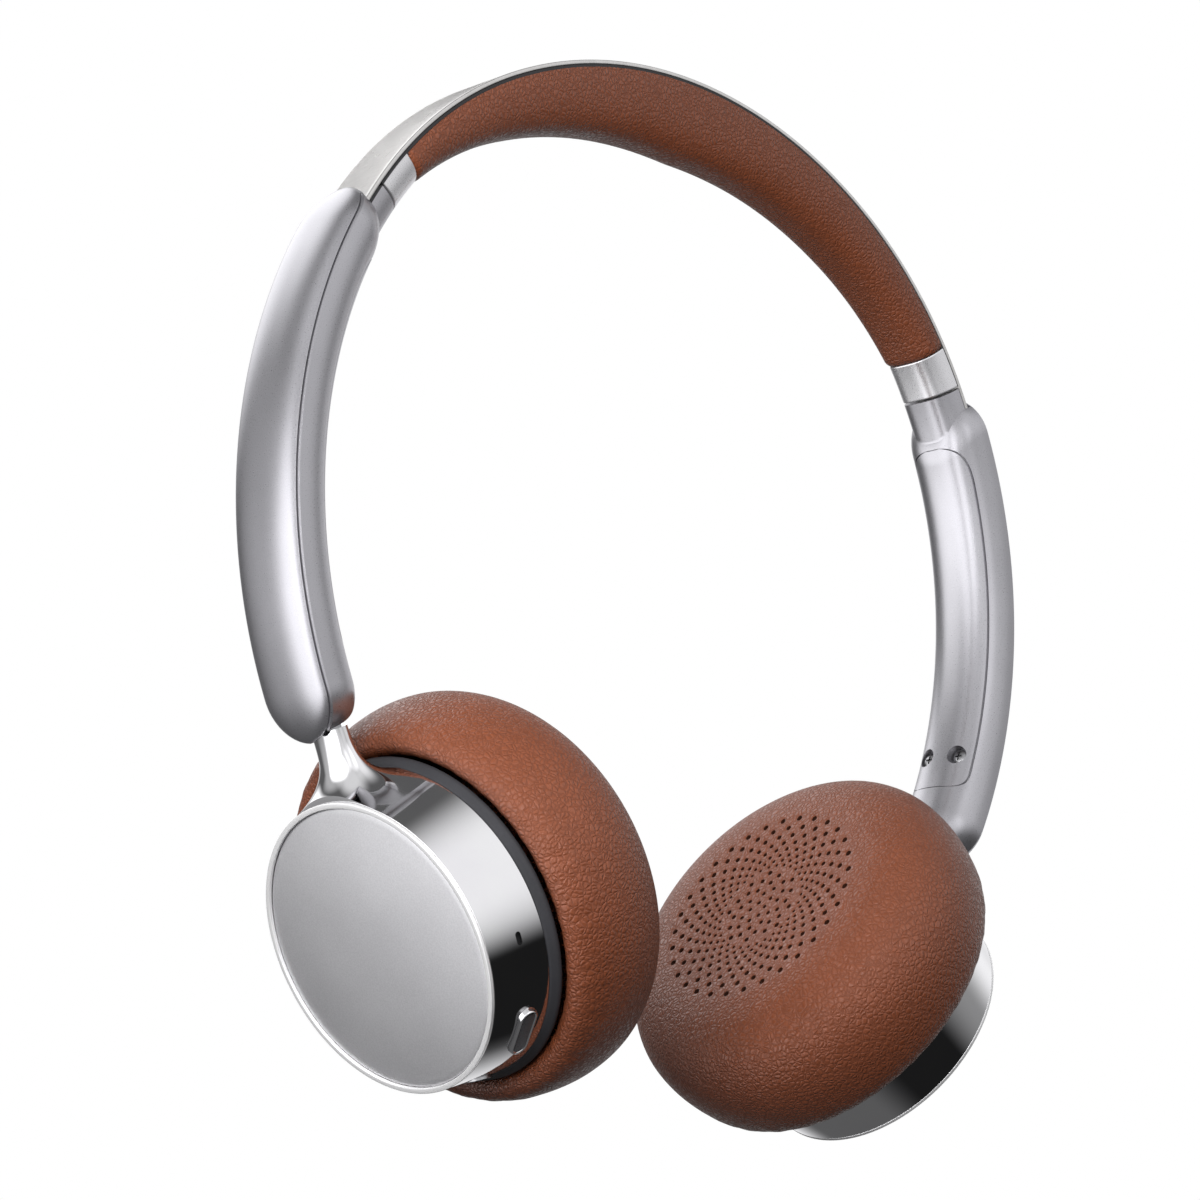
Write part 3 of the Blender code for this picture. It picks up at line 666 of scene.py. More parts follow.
def arm_oval(angle, turns):
    """The arm's inner surface: the slim tube grows into the full arm, and rounds off at the end."""
    slim = oval(turns, TUBE_WIDTH / 2, TUBE_DEPTH, TUBE_EXPONENT)
    full = oval(turns, ARM_WIDTH / 2, ARM_INNER, ARM_EXPONENT)
    tip = arm_tip(angle)
    corners = slim + (full - slim) * shoulder(angle)
    return corners * np.array([tip, 0.62 + 0.38 * tip])


def arm_ring(side, angle, corners, turns):
    """World ring of an arm's section; the shoulder slants down towards the inner side."""
    slant = SHOULDER_SLANT * ease((angle - ARM_START) / 1.6) * (1 - ease((angle - 62.0) / 10.0))
    angles = angle + slant * np.sin(turns) ** 2
    return band_points(side * angles, corners[:, 0], corners[:, 1])


def lid_edge(angle):
    """Turn at which the lid's seam runs at an angle: an arch at the top, corners at the bottom."""
    side_turn = math.radians(LID_SIDE)
    rise = min(1.0, max(0.0, (angle - LID_START) / LID_ARCH))
    fall = min(1.0, max(0.0, (LID_END - angle) / LID_CORNER))
    share = math.sqrt(1 - (1 - rise) ** 2) * (1 - (1 - fall) ** 3) ** (1 / 3)
    return math.pi / 2 - (math.pi / 2 - side_turn) * share


def arm_angles():
    """Ring places, closer together at the shoulder, at the lid's ends and at the rounded end."""
    fine = np.linspace(0, 1, 9) ** 2
    parts = [np.linspace(ARM_START, SHOULDER_START, 8),
             SHOULDER_START + fine * (LID_START - SHOULDER_START),
             LID_START + fine * 2.5, np.linspace(64.4, 72.0, 22), np.linspace(72.0, 109.0, 60),
             LID_END - fine[::-1] * 2.7, LID_END + np.linspace(0.02, 3.2, 9),
             ARM_END - (np.linspace(1, 0, 22) ** 2) * 5.2]
    return np.unique(np.round(np.concatenate(parts), 5))


def body_section(angle):
    """Corners of the arm's shell and their turns: a channel on top, rebated below for the lid."""
    wide = angle > SHOULDER_START
    lidded = LID_START < angle < LID_END
    edge = (lid_edge(angle) if lidded else math.radians(80)) - 0.012
    first = 0.0 if wide else turn_at(TUBE_TOP, TUBE_DEPTH, TUBE_EXPONENT)
    side_turns = np.linspace(first, edge, 20)
    floor_turns = np.linspace(edge, math.pi - edge, 25)
    turns = np.concatenate([side_turns, floor_turns, math.pi - side_turns[::-1]])
    corners = arm_oval(angle, turns)
    if lidded:
        corners[20:45] *= 1 - LID_THICKNESS
    half = corners[0, 0]
    lip = ARM_SEAM - SEAM_GAP / 2 if wide else TUBE_TOP
    bevel = min(SEAM_BEVEL, half * 0.2)
    wall = min(CHANNEL_HALF, half - 0.5 * MM) if wide else half - 0.5 * MM
    floor = CHANNEL_FLOOR if wide and angle < CHANNEL_END else lip - 0.02 * MM
    opening = np.array([(wall, floor), (wall, lip), (half - bevel, lip), (half, lip - bevel)])
    section = np.vstack([opening, corners, opening[::-1] * (-1, 1)])
    if not wide:
        section[2:4] = corners[0]
        section[-4:-2] = corners[-1]
    return section, np.concatenate([np.zeros(4), turns, np.zeros(4)])


def make_arm_body(side_name, side):
    """Arm shell with the channel for the band, a seam at the cover and a rebate for the lid."""
    rings = [arm_ring(side, angle, *body_section(angle)) for angle in arm_angles()]
    item = ring_object("arm_shell_" + side_name, rings)
    pocket = box(POCKET_HALF, POCKET_FLOOR, POCKET_TOP)
    cutters = [sweep(pocket, side * POCKET_START, side * (ARM_END + 4), 12)]
    cutters += [screw_post(side, offset, -4.9 * MM) for offset in (-SCREW_OFFSET, SCREW_OFFSET)]
    cut(item, cutters)
    finish_piece(item, "arm_" + side_name, "satin_silver", ["arm_body_" + side_name], 28)


def screw_place(side, offset, height):
    """Matrix at a screw: the third column points into the arm."""
    foot = band_points(side * SCREW_ANGLE, offset, height)
    inward = Vector(band_points(side * SCREW_ANGLE, offset, height + MM) - foot).normalized()
    beside = Vector((0, 1, 0))
    return place_of(beside, inward.cross(beside), inward, foot)


def screw_post(side, offset, high):
    """Rings of a screw's round recess, from below the arm up to a height."""
    low = -9 * MM
    return turned([(SCREW_RECESS, 0), (SCREW_RECESS, high - low)], screw_place(side, offset, low), 40)


def cover_section(angle):
    """Corners of the domed cover, with a tongue below that gives way to the pocket's roof."""
    tip = cover_tip(angle) * arm_tip(angle)
    base = 0.08 * MM + (ARM_SEAM + SEAM_GAP / 2 - 0.08 * MM) * ease((angle - 60.4) / 0.8)
    half = ARM_WIDTH / 2 * tip
    depth = ARM_OUTER * (0.45 + 0.55 * tip)
    first = turn_at(base + SEAM_BEVEL, depth, ARM_EXPONENT)
    corners = oval(np.linspace(first, math.pi - first, 47), half, -depth, ARM_EXPONENT)
    lip = corners[0, 0] - SEAM_BEVEL
    tongue = min(CHANNEL_HALF - 0.1 * MM, lip - 0.2 * MM)
    low = min(base, 0.15 * MM)
    if angle > POCKET_START:
        tongue = min(POCKET_HALF, half * 0.72)
        low = max(base, depth - POCKET_SKIN)
    opening = np.array([(tongue, low), (tongue, base), (lip, base)])
    return np.vstack([opening, corners, opening[::-1] * (-1, 1)])


def make_arm_cover(side_name, side):
    """Domed outer cover; a tongue under it reaches into the channel above the band."""
    angles = [angle for angle in arm_angles() if angle >= COVER_START]
    rings = [band_points(side * angle, *cover_section(angle).T) for angle in angles]
    make_piece("arm_cover_" + side_name, rings, "arm_" + side_name, "satin_silver",
               ["arm_outer_cover_" + side_name], 28)


def make_arm_lid(side_name, side):
    """Lid let into the arm's inner face, with round recesses for the screws."""
    fine = np.linspace(0.02, 1, 12) ** 2
    angles = np.concatenate([LID_START + 0.1 + fine * 2.5, np.linspace(64.6, 72, 20),
                             np.linspace(72, 109, 60), LID_END - 0.1 - fine * 2.7])
    rings = []
    for angle in np.unique(angles):
        edge = lid_edge(angle) + 0.016
        turns = np.linspace(edge, math.pi - edge, 41)
        outer = arm_oval(angle, turns)
        lip = outer.copy()
        lip[[0, -1]] *= 1 - 0.3 * LID_THICKNESS
        section = np.vstack([lip, outer[::-1] * (1 - 0.9 * LID_THICKNESS)])
        rings.append(arm_ring(side, angle, section, np.concatenate([turns, turns[::-1]])))
    item = ring_object("arm_lid_" + side_name, rings)
    cut(item, [screw_post(side, offset, -3 * MM) for offset in (-SCREW_OFFSET, SCREW_OFFSET)])
    finish_piece(item, "arm_" + side_name, "satin_silver", ["arm_inner_cover_" + side_name], 28)


def make_arm_guide(side_name, side):
    """Black guide strip that the band slides on inside the arm."""
    section = box(GUIDE_HALF, CHANNEL_FLOOR + 0.05 * MM, -BAND_THICKNESS - 0.04 * MM)
    rings = sweep(section, side * (ARM_START + 0.2), side * GUIDE_END, 60)
    make_piece("arm_guide_" + side_name, rings, "arm_" + side_name, "black_plastic")


def make_screw(side_name, side, place_name, offset):
    """Small screw with a domed head and a cross recess."""
    radius = SCREW_RADIUS
    place = screw_place(side, offset, -SCREW_DEPTH)
    profile = [(0.02 * MM, -0.22 * MM), (radius * 0.55, -0.16 * MM), (radius * 0.85, 0.0),
               (radius, 0.22 * MM), (radius, 0.7 * MM), (0.8 * MM, 0.72 * MM), (0.8 * MM, 3.0 * MM),
               (0.02 * MM, 3.0 * MM)]
    item = ring_object("screw_" + place_name + "_" + side_name, turned(profile, place, 40))
    cutters = []
    for x, y in ((0.85 * MM, 0.17 * MM), (0.17 * MM, 0.85 * MM)):
        square = np.array([(x, y), (-x, y), (-x, -y), (x, -y)])
        cutters.append([transform(place, np.column_stack([square * share, np.full(4, height)]))
                        for share, height in ((1.0, -0.6 * MM), (0.75, 0.45 * MM))])
    cut(item, cutters)
    finish_piece(item, "arm_" + side_name, "hinge_steel", ["arm_screw_" + place_name + "_" + side_name], 28)


# ------------------------------------------------------------------------ cups


def cup_place(side_name):
    """Matrix with columns front, up, out and the cup's centre, from the joints."""
    joints = {joint["name"]: joint for joint in frame["joints"]}
    side = SIDES[side_name]
    hinge = np.array(joints["tilt_" + side_name]["pos_m"])
    up = np.array(joints["swivel_" + side_name]["axis"]) * side
    up[1] = 0
    up = up * np.sign(up[2])
    out = np.array([abs(up[2]) * side, 0, -abs(up[0])])
    centre = hinge - up * CUP_DROP - out * NECK_HEIGHT
    return place_of(FRONT, up, out, centre)


def wall_radius(height):
    share = (RIM_HEIGHT - height) / (RIM_HEIGHT - SKIRT_HEIGHT)
    return RIM_RADIUS + (SKIRT_RADIUS - RIM_RADIUS) * share


def wall_place(place, angle, height):
    """Matrix on the conical wall: columns along it, towards the plate, and out through it."""
    turn = math.radians(angle)
    slope = math.atan2(SKIRT_RADIUS - RIM_RADIUS, RIM_HEIGHT - SKIRT_HEIGHT)
    radial = Vector((math.sin(turn), math.cos(turn), 0))
    along = Vector((math.cos(turn), -math.sin(turn), 0))
    normal = radial * math.cos(slope) + Vector((0, 0, math.sin(slope)))
    beside = Vector((0, 0, math.cos(slope))) - radial * math.sin(slope)
    spot = radial * wall_radius(height) + Vector((0, 0, height))
    return place @ place_of(along, beside, normal, spot)


def capsule(place, length, width, stages, steps=14):
    """Rings of a round-ended outline; stages are (inset, height) pairs."""
    turns = np.linspace(-math.pi / 2, math.pi / 2, steps + 1)
    straight = (length - width) / 2
    rings = []
    for inset, height in stages:
        radius = width / 2 - inset
        end = np.stack([straight + radius * np.cos(turns), radius * np.sin(turns)], axis=1)
        flat = np.vstack([end, -end])
        rings.append(transform(place, np.column_stack([flat, np.full(len(flat), height)])))
    return rings


def flare_width(up):
    """Half width of the neck at a height above the cup's centre: a stem with a fillet to the wall."""
    ring = wall_radius(NECK_HEIGHT)
    centre_x = NECK_RADIUS + NECK_FLARE
    centre_y = math.sqrt((ring + NECK_FLARE) ** 2 - centre_x ** 2)
    contact = centre_y * ring / (ring + NECK_FLARE)
    if up >= centre_y:
        return NECK_RADIUS
    if up >= contact:
        return centre_x - math.sqrt(max(0.0, NECK_FLARE ** 2 - (centre_y - up) ** 2))
    return math.sqrt(max(0.0, ring * ring - up * up))


def blended_maximum(first, second, reach):
    """Larger of two widths, rounded where they meet; exact where the second is nothing."""
    reach = min(reach, second)
    if reach <= 0:
        return max(first, second)
    overlap = max(0.0, reach - abs(first - second)) / reach
    return max(first, second) + overlap * overlap * reach / 4


def wall_half(side_sign):
    """Grid of one half of the housing's outer skin, from the neck's top round to the bottom."""
    levels = np.linspace(-1, 1, 33)
    columns = []
    for share in np.linspace(0, 1, 70):
        middle_up = NECK_TOP + (FLARE_LOW - NECK_TOP) * share
        turn_share = max(0.0, (share - FLARE_SHARE) / (1 - FLARE_SHARE))
        edge_share = min(1.0, share / FLARE_SHARE)
        ease_edge = ease(edge_share)
        low = NECK_HEIGHT - NECK_HALF_DEPTH
        low += (SKIRT_HEIGHT - low) * ease_edge
        high = NECK_HEIGHT + NECK_HALF_DEPTH
        high += (RIM_TOP - high) * ease_edge
        column = []
        for level in levels:
            reach = low if level < 0 else high
            height = NECK_HEIGHT + (reach - NECK_HEIGHT) * math.sin(math.pi / 2 * abs(level))
            radius = wall_radius(height)
            if share < FLARE_SHARE:
                edge_up = NECK_TOP + (wall_radius(reach) - NECK_TOP) * edge_share
            else:
                last_angle = math.acos(FLARE_LOW / wall_radius(reach))
                edge_up = wall_radius(reach) * math.cos(last_angle * turn_share)
            up = middle_up + (edge_up - middle_up) * abs(level) ** 3
            ring = math.sqrt(max(0.0, radius * radius - up * up))
            stem = flare_width(up) * math.cos(math.pi / 2 * level)
            column.append((side_sign * blended_maximum(stem, ring, 1.2 * MM), up, height))
        columns.append(column)
    starts = [math.atan2(abs(point[0]), point[1]) for point in columns[-1]]
    for share in np.linspace(0, 1, 75)[1:]:
        column = []
        for level, start in zip(levels, starts):
            reach = SKIRT_HEIGHT if level < 0 else RIM_TOP
            height = NECK_HEIGHT + (reach - NECK_HEIGHT) * math.sin(math.pi / 2 * abs(level))
            turn = start + (math.pi - start) * share
            radius = wall_radius(height)
            column.append((side_sign * radius * math.sin(turn), radius * math.cos(turn), height))
        columns.append(column)
    return columns


def housing_distance(spots):
    """Signed distance from the housing's outer skin: the conical wall and the neck, smoothly joined."""
    radial = np.hypot(spots[:, 0], spots[:, 1])
    wall = radial - wall_radius(spots[:, 2])
    aside = np.abs(spots[:, 2] - NECK_HEIGHT)
    climb = np.clip((spots[:, 1] - NECK_FOOT) / (NECK_TOP - NECK_FOOT), 0, 1)
    climb = climb * climb * (3 - 2 * climb)
    aside = aside * (0.86 + (NECK_RADIUS / NECK_HALF_DEPTH - 0.86) * climb)
    stem = np.where(spots[:, 1] < 0, 2 * NECK_BLEND, np.hypot(spots[:, 0], aside) - NECK_RADIUS)
    share = spots[:, 0] ** 2 / (spots[:, 0] ** 2 + aside ** 2 + MM * MM)
    reach = NECK_BLEND * (0.45 + 0.60 * share)
    overlap = np.maximum(0, reach - np.abs(wall - stem)) / reach
    return np.minimum(wall, stem) - overlap ** 2 * reach / 4


def housing_gradient(spots):
    """How the housing's distance grows along each axis at some points."""
    nudge = 0.01 * MM
    return np.stack([(housing_distance(spots + step) - housing_distance(spots - step)) / (2 * nudge)
                     for step in nudge * np.eye(3)], axis=1)


def neighbour_total(places, pairs):
    """For each point, the sum of the points that it shares an edge with."""
    total = np.zeros_like(places)
    np.add.at(total, pairs[:, 0], places[pairs[:, 1]])
    np.add.at(total, pairs[:, 1], places[pairs[:, 0]])
    return total


def soften_neck(work):
    """Spreads the skin's points evenly where the neck flares, and lays them on the smooth surface."""
    work.verts.ensure_lookup_table()
    places = np.array([vert.co for vert in work.verts])
    pairs = np.array([[vert.index for vert in edge.verts] for edge in work.edges])
    open_pairs = np.array([[vert.index for vert in edge.verts] for edge in work.edges if edge.is_boundary])
    fixed = np.array([vert.is_boundary for vert in work.verts])
    up = places[:, 1]
    share = np.clip((up - SOFT_START) / SOFT_REACH, 0, 1)
    weight = np.where(fixed, 0, share)[:, None]
    loose = np.flatnonzero(weight > 0)
    edge = np.flatnonzero(fixed & (up > 0) & (up < SOFT_EDGE_END))
    spread = share[edge][:, None] * 0.5
    for _ in range(60):
        middle = neighbour_total(places, open_pairs)[edge] / 2
        places[edge] += (middle - places[edge]) * spread
        direction = places[edge] * (1, 1, 0)
        direction /= np.linalg.norm(direction, axis=1, keepdims=True)
        places[edge] -= housing_distance(places[edge])[:, None] * direction * 0.9
    count = np.bincount(pairs.ravel(), minlength=len(places))[:, None]
    for _ in range(120):
        places += (neighbour_total(places, pairs) / count - places) * 0.5 * weight
        spots = places[loose]
        gradient = housing_gradient(spots)
        steep = np.maximum(0.05, (gradient ** 2).sum(axis=1, keepdims=True))
        places[loose] -= housing_distance(spots)[:, None] * gradient / steep
    for vert, spot in zip(work.verts, places):
        vert.co = spot


def polish(item, place):
    """Shades the outer skin with the normals of the smooth surface that its points lie on."""
    mesh = item.data
    inverse = place.inverted() @ item.matrix_world
    turn = np.array(inverse.to_3x3())
    spots = np.empty(len(mesh.vertices) * 3)
    mesh.vertices.foreach_get("co", spots)
    spots = transform(inverse, spots.reshape(-1, 3))
    corners = np.empty(len(mesh.loops), dtype=np.int32)
    mesh.loops.foreach_get("vertex_index", corners)
    given = np.array([entry.vector for entry in mesh.corner_normals])
    local = given @ turn.T
    local /= np.linalg.norm(local, axis=1, keepdims=True)
    smooth = housing_gradient(spots)
    smooth = (smooth / np.linalg.norm(smooth, axis=1, keepdims=True))[corners]
    near = (np.abs(housing_distance(spots))[corners] < 0.03 * MM) & ((smooth * local).sum(axis=1) > 0.8)
    local[near] = smooth[near]
    result = local @ turn
    result /= np.linalg.norm(result, axis=1, keepdims=True)
    mesh.normals_split_custom_set([tuple(normal) for normal in result])


def wall_mesh(name):
    """The housing's outer skin, open at the rim, at the skirt and at the neck's top."""
    points = []
    faces = []
    for half in (wall_half(1), wall_half(-1)):
        base = len(points)
        levels = len(half[0])
        for column in half:
            points += column
        for column in range(len(half) - 1):
            for level in range(levels - 1):
                here = base + column * levels + level
                faces.append((here, here + levels, here + levels + 1, here + 1))
    mesh = bpy.data.meshes.new(name)
    mesh.from_pydata([tuple(point) for point in points], [], faces)
    return mesh


def close_edge(work, place, edges, radius, height, stages):
    """Folds an open edge inwards through (inset, rise) stages in millimetres, and fills the rest."""
    inverse = place.inverted()
    for inset, rise in stages:
        made = bmesh.ops.extrude_edge_only(work, edges=edges)["geom"]
        edges = [item for item in made if isinstance(item, bmesh.types.BMEdge)]
        reach = radius - inset * MM
        for vert in [item for item in made if isinstance(item, bmesh.types.BMVert)]:
            local = inverse @ vert.co
            turn = math.atan2(local.x, local.y)
            vert.co = place @ Vector((reach * math.sin(turn), reach * math.cos(turn), height + rise * MM))
    bmesh.ops.contextual_create(work, geom=edges)


def control_openings(place):
    """Rings of the openings for the buttons, the socket and the microphone."""
    stages = [(0.25 * MM, -OPENING_DEPTH), (0.25 * MM, -0.2 * MM), (0.0, 0.1 * MM), (-0.3 * MM, 2 * MM)]
    gap = 2 * BUTTON_GAP
    cutters = []
    for angle, length, width in list(BUTTONS.values()) + [PORT]:
        spot = wall_place(place, angle, BUTTON_HEIGHT)
        cutters.append(capsule(spot, length + gap, width + gap, stages))
    angle, length, width, height = MICROPHONE
    stages = [(0, -OPENING_DEPTH), (0, 2 * MM)]
    return cutters + [capsule(wall_place(place, angle, height), length, width, stages)]


def make_housing(side_name):
    """Plated cup housing: a conical wall with a flared neck, closed inside the rim and the skirt."""
    place = cup_place(side_name)
    name = "cup_shell_" + side_name
    mesh = wall_mesh(name)
    work = bmesh.new()
    work.from_mesh(mesh)
    bmesh.ops.remove_doubles(work, verts=work.verts, dist=3e-6)
    bmesh.ops.dissolve_degenerate(work, dist=2e-6, edges=work.edges)
    soften_neck(work)
    open_edges = [edge for edge in work.edges if edge.is_boundary]
    rim = [edge for edge in open_edges if all(vert.co.z > RIM_TOP - 1e-5 for vert in edge.verts)]
    skirt = [edge for edge in open_edges if all(vert.co.z < SKIRT_HEIGHT + 1e-5 for vert in edge.verts)]
    bmesh.ops.transform(work, matrix=place, verts=work.verts)
    close_edge(work, place, rim, wall_radius(RIM_TOP), RIM_TOP, RIM_FOLD)
    close_edge(work, place, skirt, SKIRT_RADIUS, SKIRT_HEIGHT, SKIRT_FOLD)
    bmesh.ops.contextual_create(work, geom=[edge for edge in work.edges if edge.is_boundary])
    bmesh.ops.recalc_face_normals(work, faces=work.faces)
    work.to_mesh(mesh)
    work.free()
    item = make_object(name, mesh)
    if side_name == "right":
        cut(item, control_openings(place))
    finish_piece(item, "cup_" + side_name, "chrome", ["cup_housing_" + side_name], 30)
    polish(item, place)


def make_turned(name, side_name, profile, slot, replaced, wrap=True):
    """A turned piece about the cup's axis, from a profile of (radius, height)."""
    rings = turned(profile, cup_place(side_name), 192)
    make_piece(name + side_name, rings, "cup_" + side_name, slot, [replaced + side_name], 30, wrap)


def closed_profile(corners, radius):
    """Closed turned section with rounded corners."""
    corners = list(corners)
    middle = tuple((np.array(corners[0]) + np.array(corners[-1])) / 2)
    return rounded([middle] + corners + [middle], radius)[:-1]


def make_trim_ring(side_name):
    inner, outer = PLATE_RADIUS + 0.1 * MM, wall_radius(RIM_TOP)
    low, high = RIM_TOP + 0.06 * MM, RIM_HEIGHT + 1.5 * MM
    corners = [(inner, low), (outer, low), (outer, high), (inner, high)]
    make_turned("rim_ring_", side_name, closed_profile(corners, 0.12 * MM), "polished_rim", "trim_ring_")


def make_plate(side_name):
    """Slightly domed plate with a fine rounded edge."""
    edge = RIM_HEIGHT + 1.1 * MM
    dome = [(PLATE_RADIUS * share, edge + PLATE_DOME * (1 - share * share))
            for share in np.linspace(0.001, 0.985, 30)]
    rim = [(PLATE_RADIUS - inset * MM, edge - drop * MM)
           for inset, drop in ((0.12, 0.02), (0.02, 0.1), (0.0, 0.3), (0.0, 0.8))]
    make_turned("face_plate_", side_name, dome + rim, "plate_silver", "cup_plate_", wrap=False)


def make_seal(side_name):
    """Dark ring between the housing and the pad."""
    top = SKIRT_HEIGHT - 0.12 * MM
    low, high = SEAL_HEIGHT - 0.3 * MM, SEAL_HEIGHT + 0.3 * MM
    outer = SEAL_RADIUS + 0.4 * MM
    corners = [(SEAL_INNER, low), (outer, low), (outer, high), (SKIRT_RADIUS + 0.12 * MM, top),
               (SEAL_INNER, top)]
    make_turned("seal_band_", side_name, closed_profile(corners, 0.35 * MM), "dark_plastic", "seal_ring_")


# Section of the pad's side from the rear seam round to the face, in millimetres
PAD_SIDE = ((25.4, -5.2), (26.3, -4.1), (27.6, -3.6), (29.2, -4.4), (30.4, -6.5), (31.15, -9.6),
            (31.5, -13.4), (31.0, -17.6), (29.3, -21.4), (26.6, -24.1), (22.9, -25.9), (18.9, -26.6))
PAD_STEPS = 240
HOLE_ARMS = 31
HOLE_ROWS = 8
HOLE_MIDDLES = 42
HOLE_CORNERS = 10
HOLE_DEPTH = 0.9 * MM
HOLE_DIMPLE = 0.10 * MM
FACE_PITCH = 0.75 * MM


def pad_holes():
    """Perforations as (x, y, radius): arms of growing holes round a disc of larger ones."""
    holes = []
    inner, outer = 8.3 * MM, 17.7 * MM
    for row in range(HOLE_ROWS):
        share = row / (HOLE_ROWS - 1)
        radius = inner * (outer / inner) ** share
        for arm in range(HOLE_ARMS):
            turn = 2 * math.pi * (arm + 0.5 * row + 0.12 * share) / HOLE_ARMS
            holes.append((radius * math.cos(turn), radius * math.sin(turn), (0.27 + 0.25 * share) * MM))
    golden = math.pi * (3 - math.sqrt(5))
    for index in range(HOLE_MIDDLES):
        radius = 1.1 * MM * math.sqrt(index + 0.4)
        turn = golden * index
        size = (0.36 + 0.09 * index / HOLE_MIDDLES) * MM
        holes.append((radius * math.cos(turn), radius * math.sin(turn), size))
    return holes


def pad_face_height(radius):
    """The face is nearly flat, with a shallow hollow in the middle."""
    share = radius / PAD_FACE_RADIUS
    return PAD_FRONT + 0.55 * MM * (1 - share ** 2) ** 2


def make_ear_pad(side_name):
    """Leather pad: turned side with soft wrinkles, and a perforated face welded to it."""
    profile = spline(np.array(PAD_SIDE) * MM, 5)
    turns = np.linspace(0, 2 * math.pi, PAD_STEPS, endpoint=False)
    points = [wrinkled(radius, height, turn, side_name) for radius, height in profile for turn in turns]
    faces = []
    for row in range(len(profile) - 1):
        here, there = row * PAD_STEPS, (row + 1) * PAD_STEPS
        for column in range(PAD_STEPS):
            beside = (column + 1) % PAD_STEPS
            faces.append((here + column, here + beside, there + beside, there + column))
    shaded_from = add_pad_face(points, faces)
    name = "pad_leather_" + side_name
    mesh = bpy.data.meshes.new(name)
    places = transform(cup_place(side_name), points)
    mesh.from_pydata([tuple(point) for point in places], [], faces)
    mesh.materials.append(MATERIALS["leather"])
    # The holes' walls and floors get the dark brown that paints the shade inside the perforations.
    mesh.materials.append(MATERIALS["leather_hole_shade"])
    for polygon in mesh.polygons[shaded_from:]:
        polygon.material_index = 1
    item = make_object(name, mesh)
    finish_piece(item, "cup_" + side_name, "leather", ["ear_pad_" + side_name], 50)


def wrinkled(radius, height, turn, side_name):
    """A point of the pad's side, with shallow folds running out from the rear seam."""
    phase = 0.0 if side_name == "left" else 1.7
    near_seam = math.exp(-((height + 3.0 * MM) / (5.0 * MM)) ** 2)
    folds = (math.sin(41 * turn + phase + 2.0 * math.sin(3 * turn))
             + 0.7 * math.sin(67 * turn + 1.3 + 1.5 * math.sin(5 * turn + phase)))
    swell = 0.10 * MM * math.sin(5 * turn + phase) * math.exp(-((height + 14 * MM) / (8 * MM)) ** 2)
    radius += 0.055 * MM * folds * near_seam + swell
    return (radius * math.sin(turn), radius * math.cos(turn), height)


def pad_face_layout(rim):
    """Flat points from the rim inwards, the edges to keep, each point's hole or -1, and hole centres."""
    holes = np.array(pad_holes())
    centres, sizes = holes[:, :2], holes[:, 2]
    corners = 2 * math.pi * np.arange(HOLE_CORNERS) / HOLE_CORNERS
    halves = corners + math.pi / HOLE_CORNERS
    flat = list(rim)
    edges = [(column, (column + 1) % PAD_STEPS) for column in range(PAD_STEPS)]
    owner = [-1] * PAD_STEPS
    for number, (centre, size) in enumerate(zip(centres, sizes)):
        start = len(flat)
        flat += [centre + size * np.array([math.cos(turn), math.sin(turn)]) for turn in corners]
        edges += [(start + corner, start + (corner + 1) % HOLE_CORNERS) for corner in range(HOLE_CORNERS)]
        owner += [number] * HOLE_CORNERS

    def clear(spot, factor):
        return np.all(np.linalg.norm(centres - spot, axis=1) > factor * sizes)

    halo = [centre + 1.55 * size * np.array([math.cos(turn), math.sin(turn)])
            for centre, size in zip(centres, sizes) for turn in halves]
    grid = [np.array([(column + 0.5 * (row % 2)) * FACE_PITCH, row * FACE_PITCH * 0.866])
            for row in range(-26, 27) for column in range(-26, 27)]
    flat += [spot for spot in halo if clear(spot, 1.5)]
    flat += [spot for spot in grid
             if np.linalg.norm(spot) < PAD_FACE_RADIUS - 0.5 * MM and clear(spot, 2.1)]
    owner += [-1] * (len(flat) - len(owner))
    return [Vector(spot) for spot in flat], edges, owner, centres


def add_pad_face(points, faces):
    """Adds the perforated face: triangles between the holes, then the holes' walls and floors, which take a dark
    brown of painted shade.
    """
    base = len(points) - PAD_STEPS
    flat, edges, owner, centres = pad_face_layout([point[:2] for point in points[base:]])
    made, _, triangles, origins, _, _ = delaunay_2d_cdt(flat, edges, [], 0, 1e-9)
    index_of = []
    hole_of = []
    for point, origin in zip(made, origins):
        source = origin[0] if origin else -1
        number = owner[source] if source >= 0 else -1
        hole_of.append(number)
        if 0 <= source < PAD_STEPS:
            index_of.append(base + source)
            continue
        dimple = HOLE_DIMPLE if number >= 0 else 0.0
        index_of.append(len(points))
        points.append((point.x, point.y, pad_face_height(point.length) + dimple))
    for triangle in triangles:
        owners = {hole_of[corner] for corner in triangle}
        if len(owners) > 1 or -1 in owners:
            faces.append(tuple(index_of[corner] for corner in triangle))
    shaded_from = len(faces)
    rims = {}
    for index, number in zip(index_of, hole_of):
        if number >= 0:
            rims.setdefault(number, []).append(index)
    for number, rim in rims.items():
        x, y = centres[number]
        rim.sort(key=lambda index: math.atan2(points[index][1] - y, points[index][0] - x))
        floor = len(points)
        for index in rim:
            px, py, pz = points[index]
            points.append((x + (px - x) * 0.9, y + (py - y) * 0.9, pz + HOLE_DEPTH))
        for corner in range(len(rim)):
            beside = (corner + 1) % len(rim)
            faces.append((rim[corner], rim[beside], floor + beside, floor + corner))
        faces.append(tuple(range(floor, floor + len(rim))))
    return shaded_from


# -------------------------------------------------------------------- controls


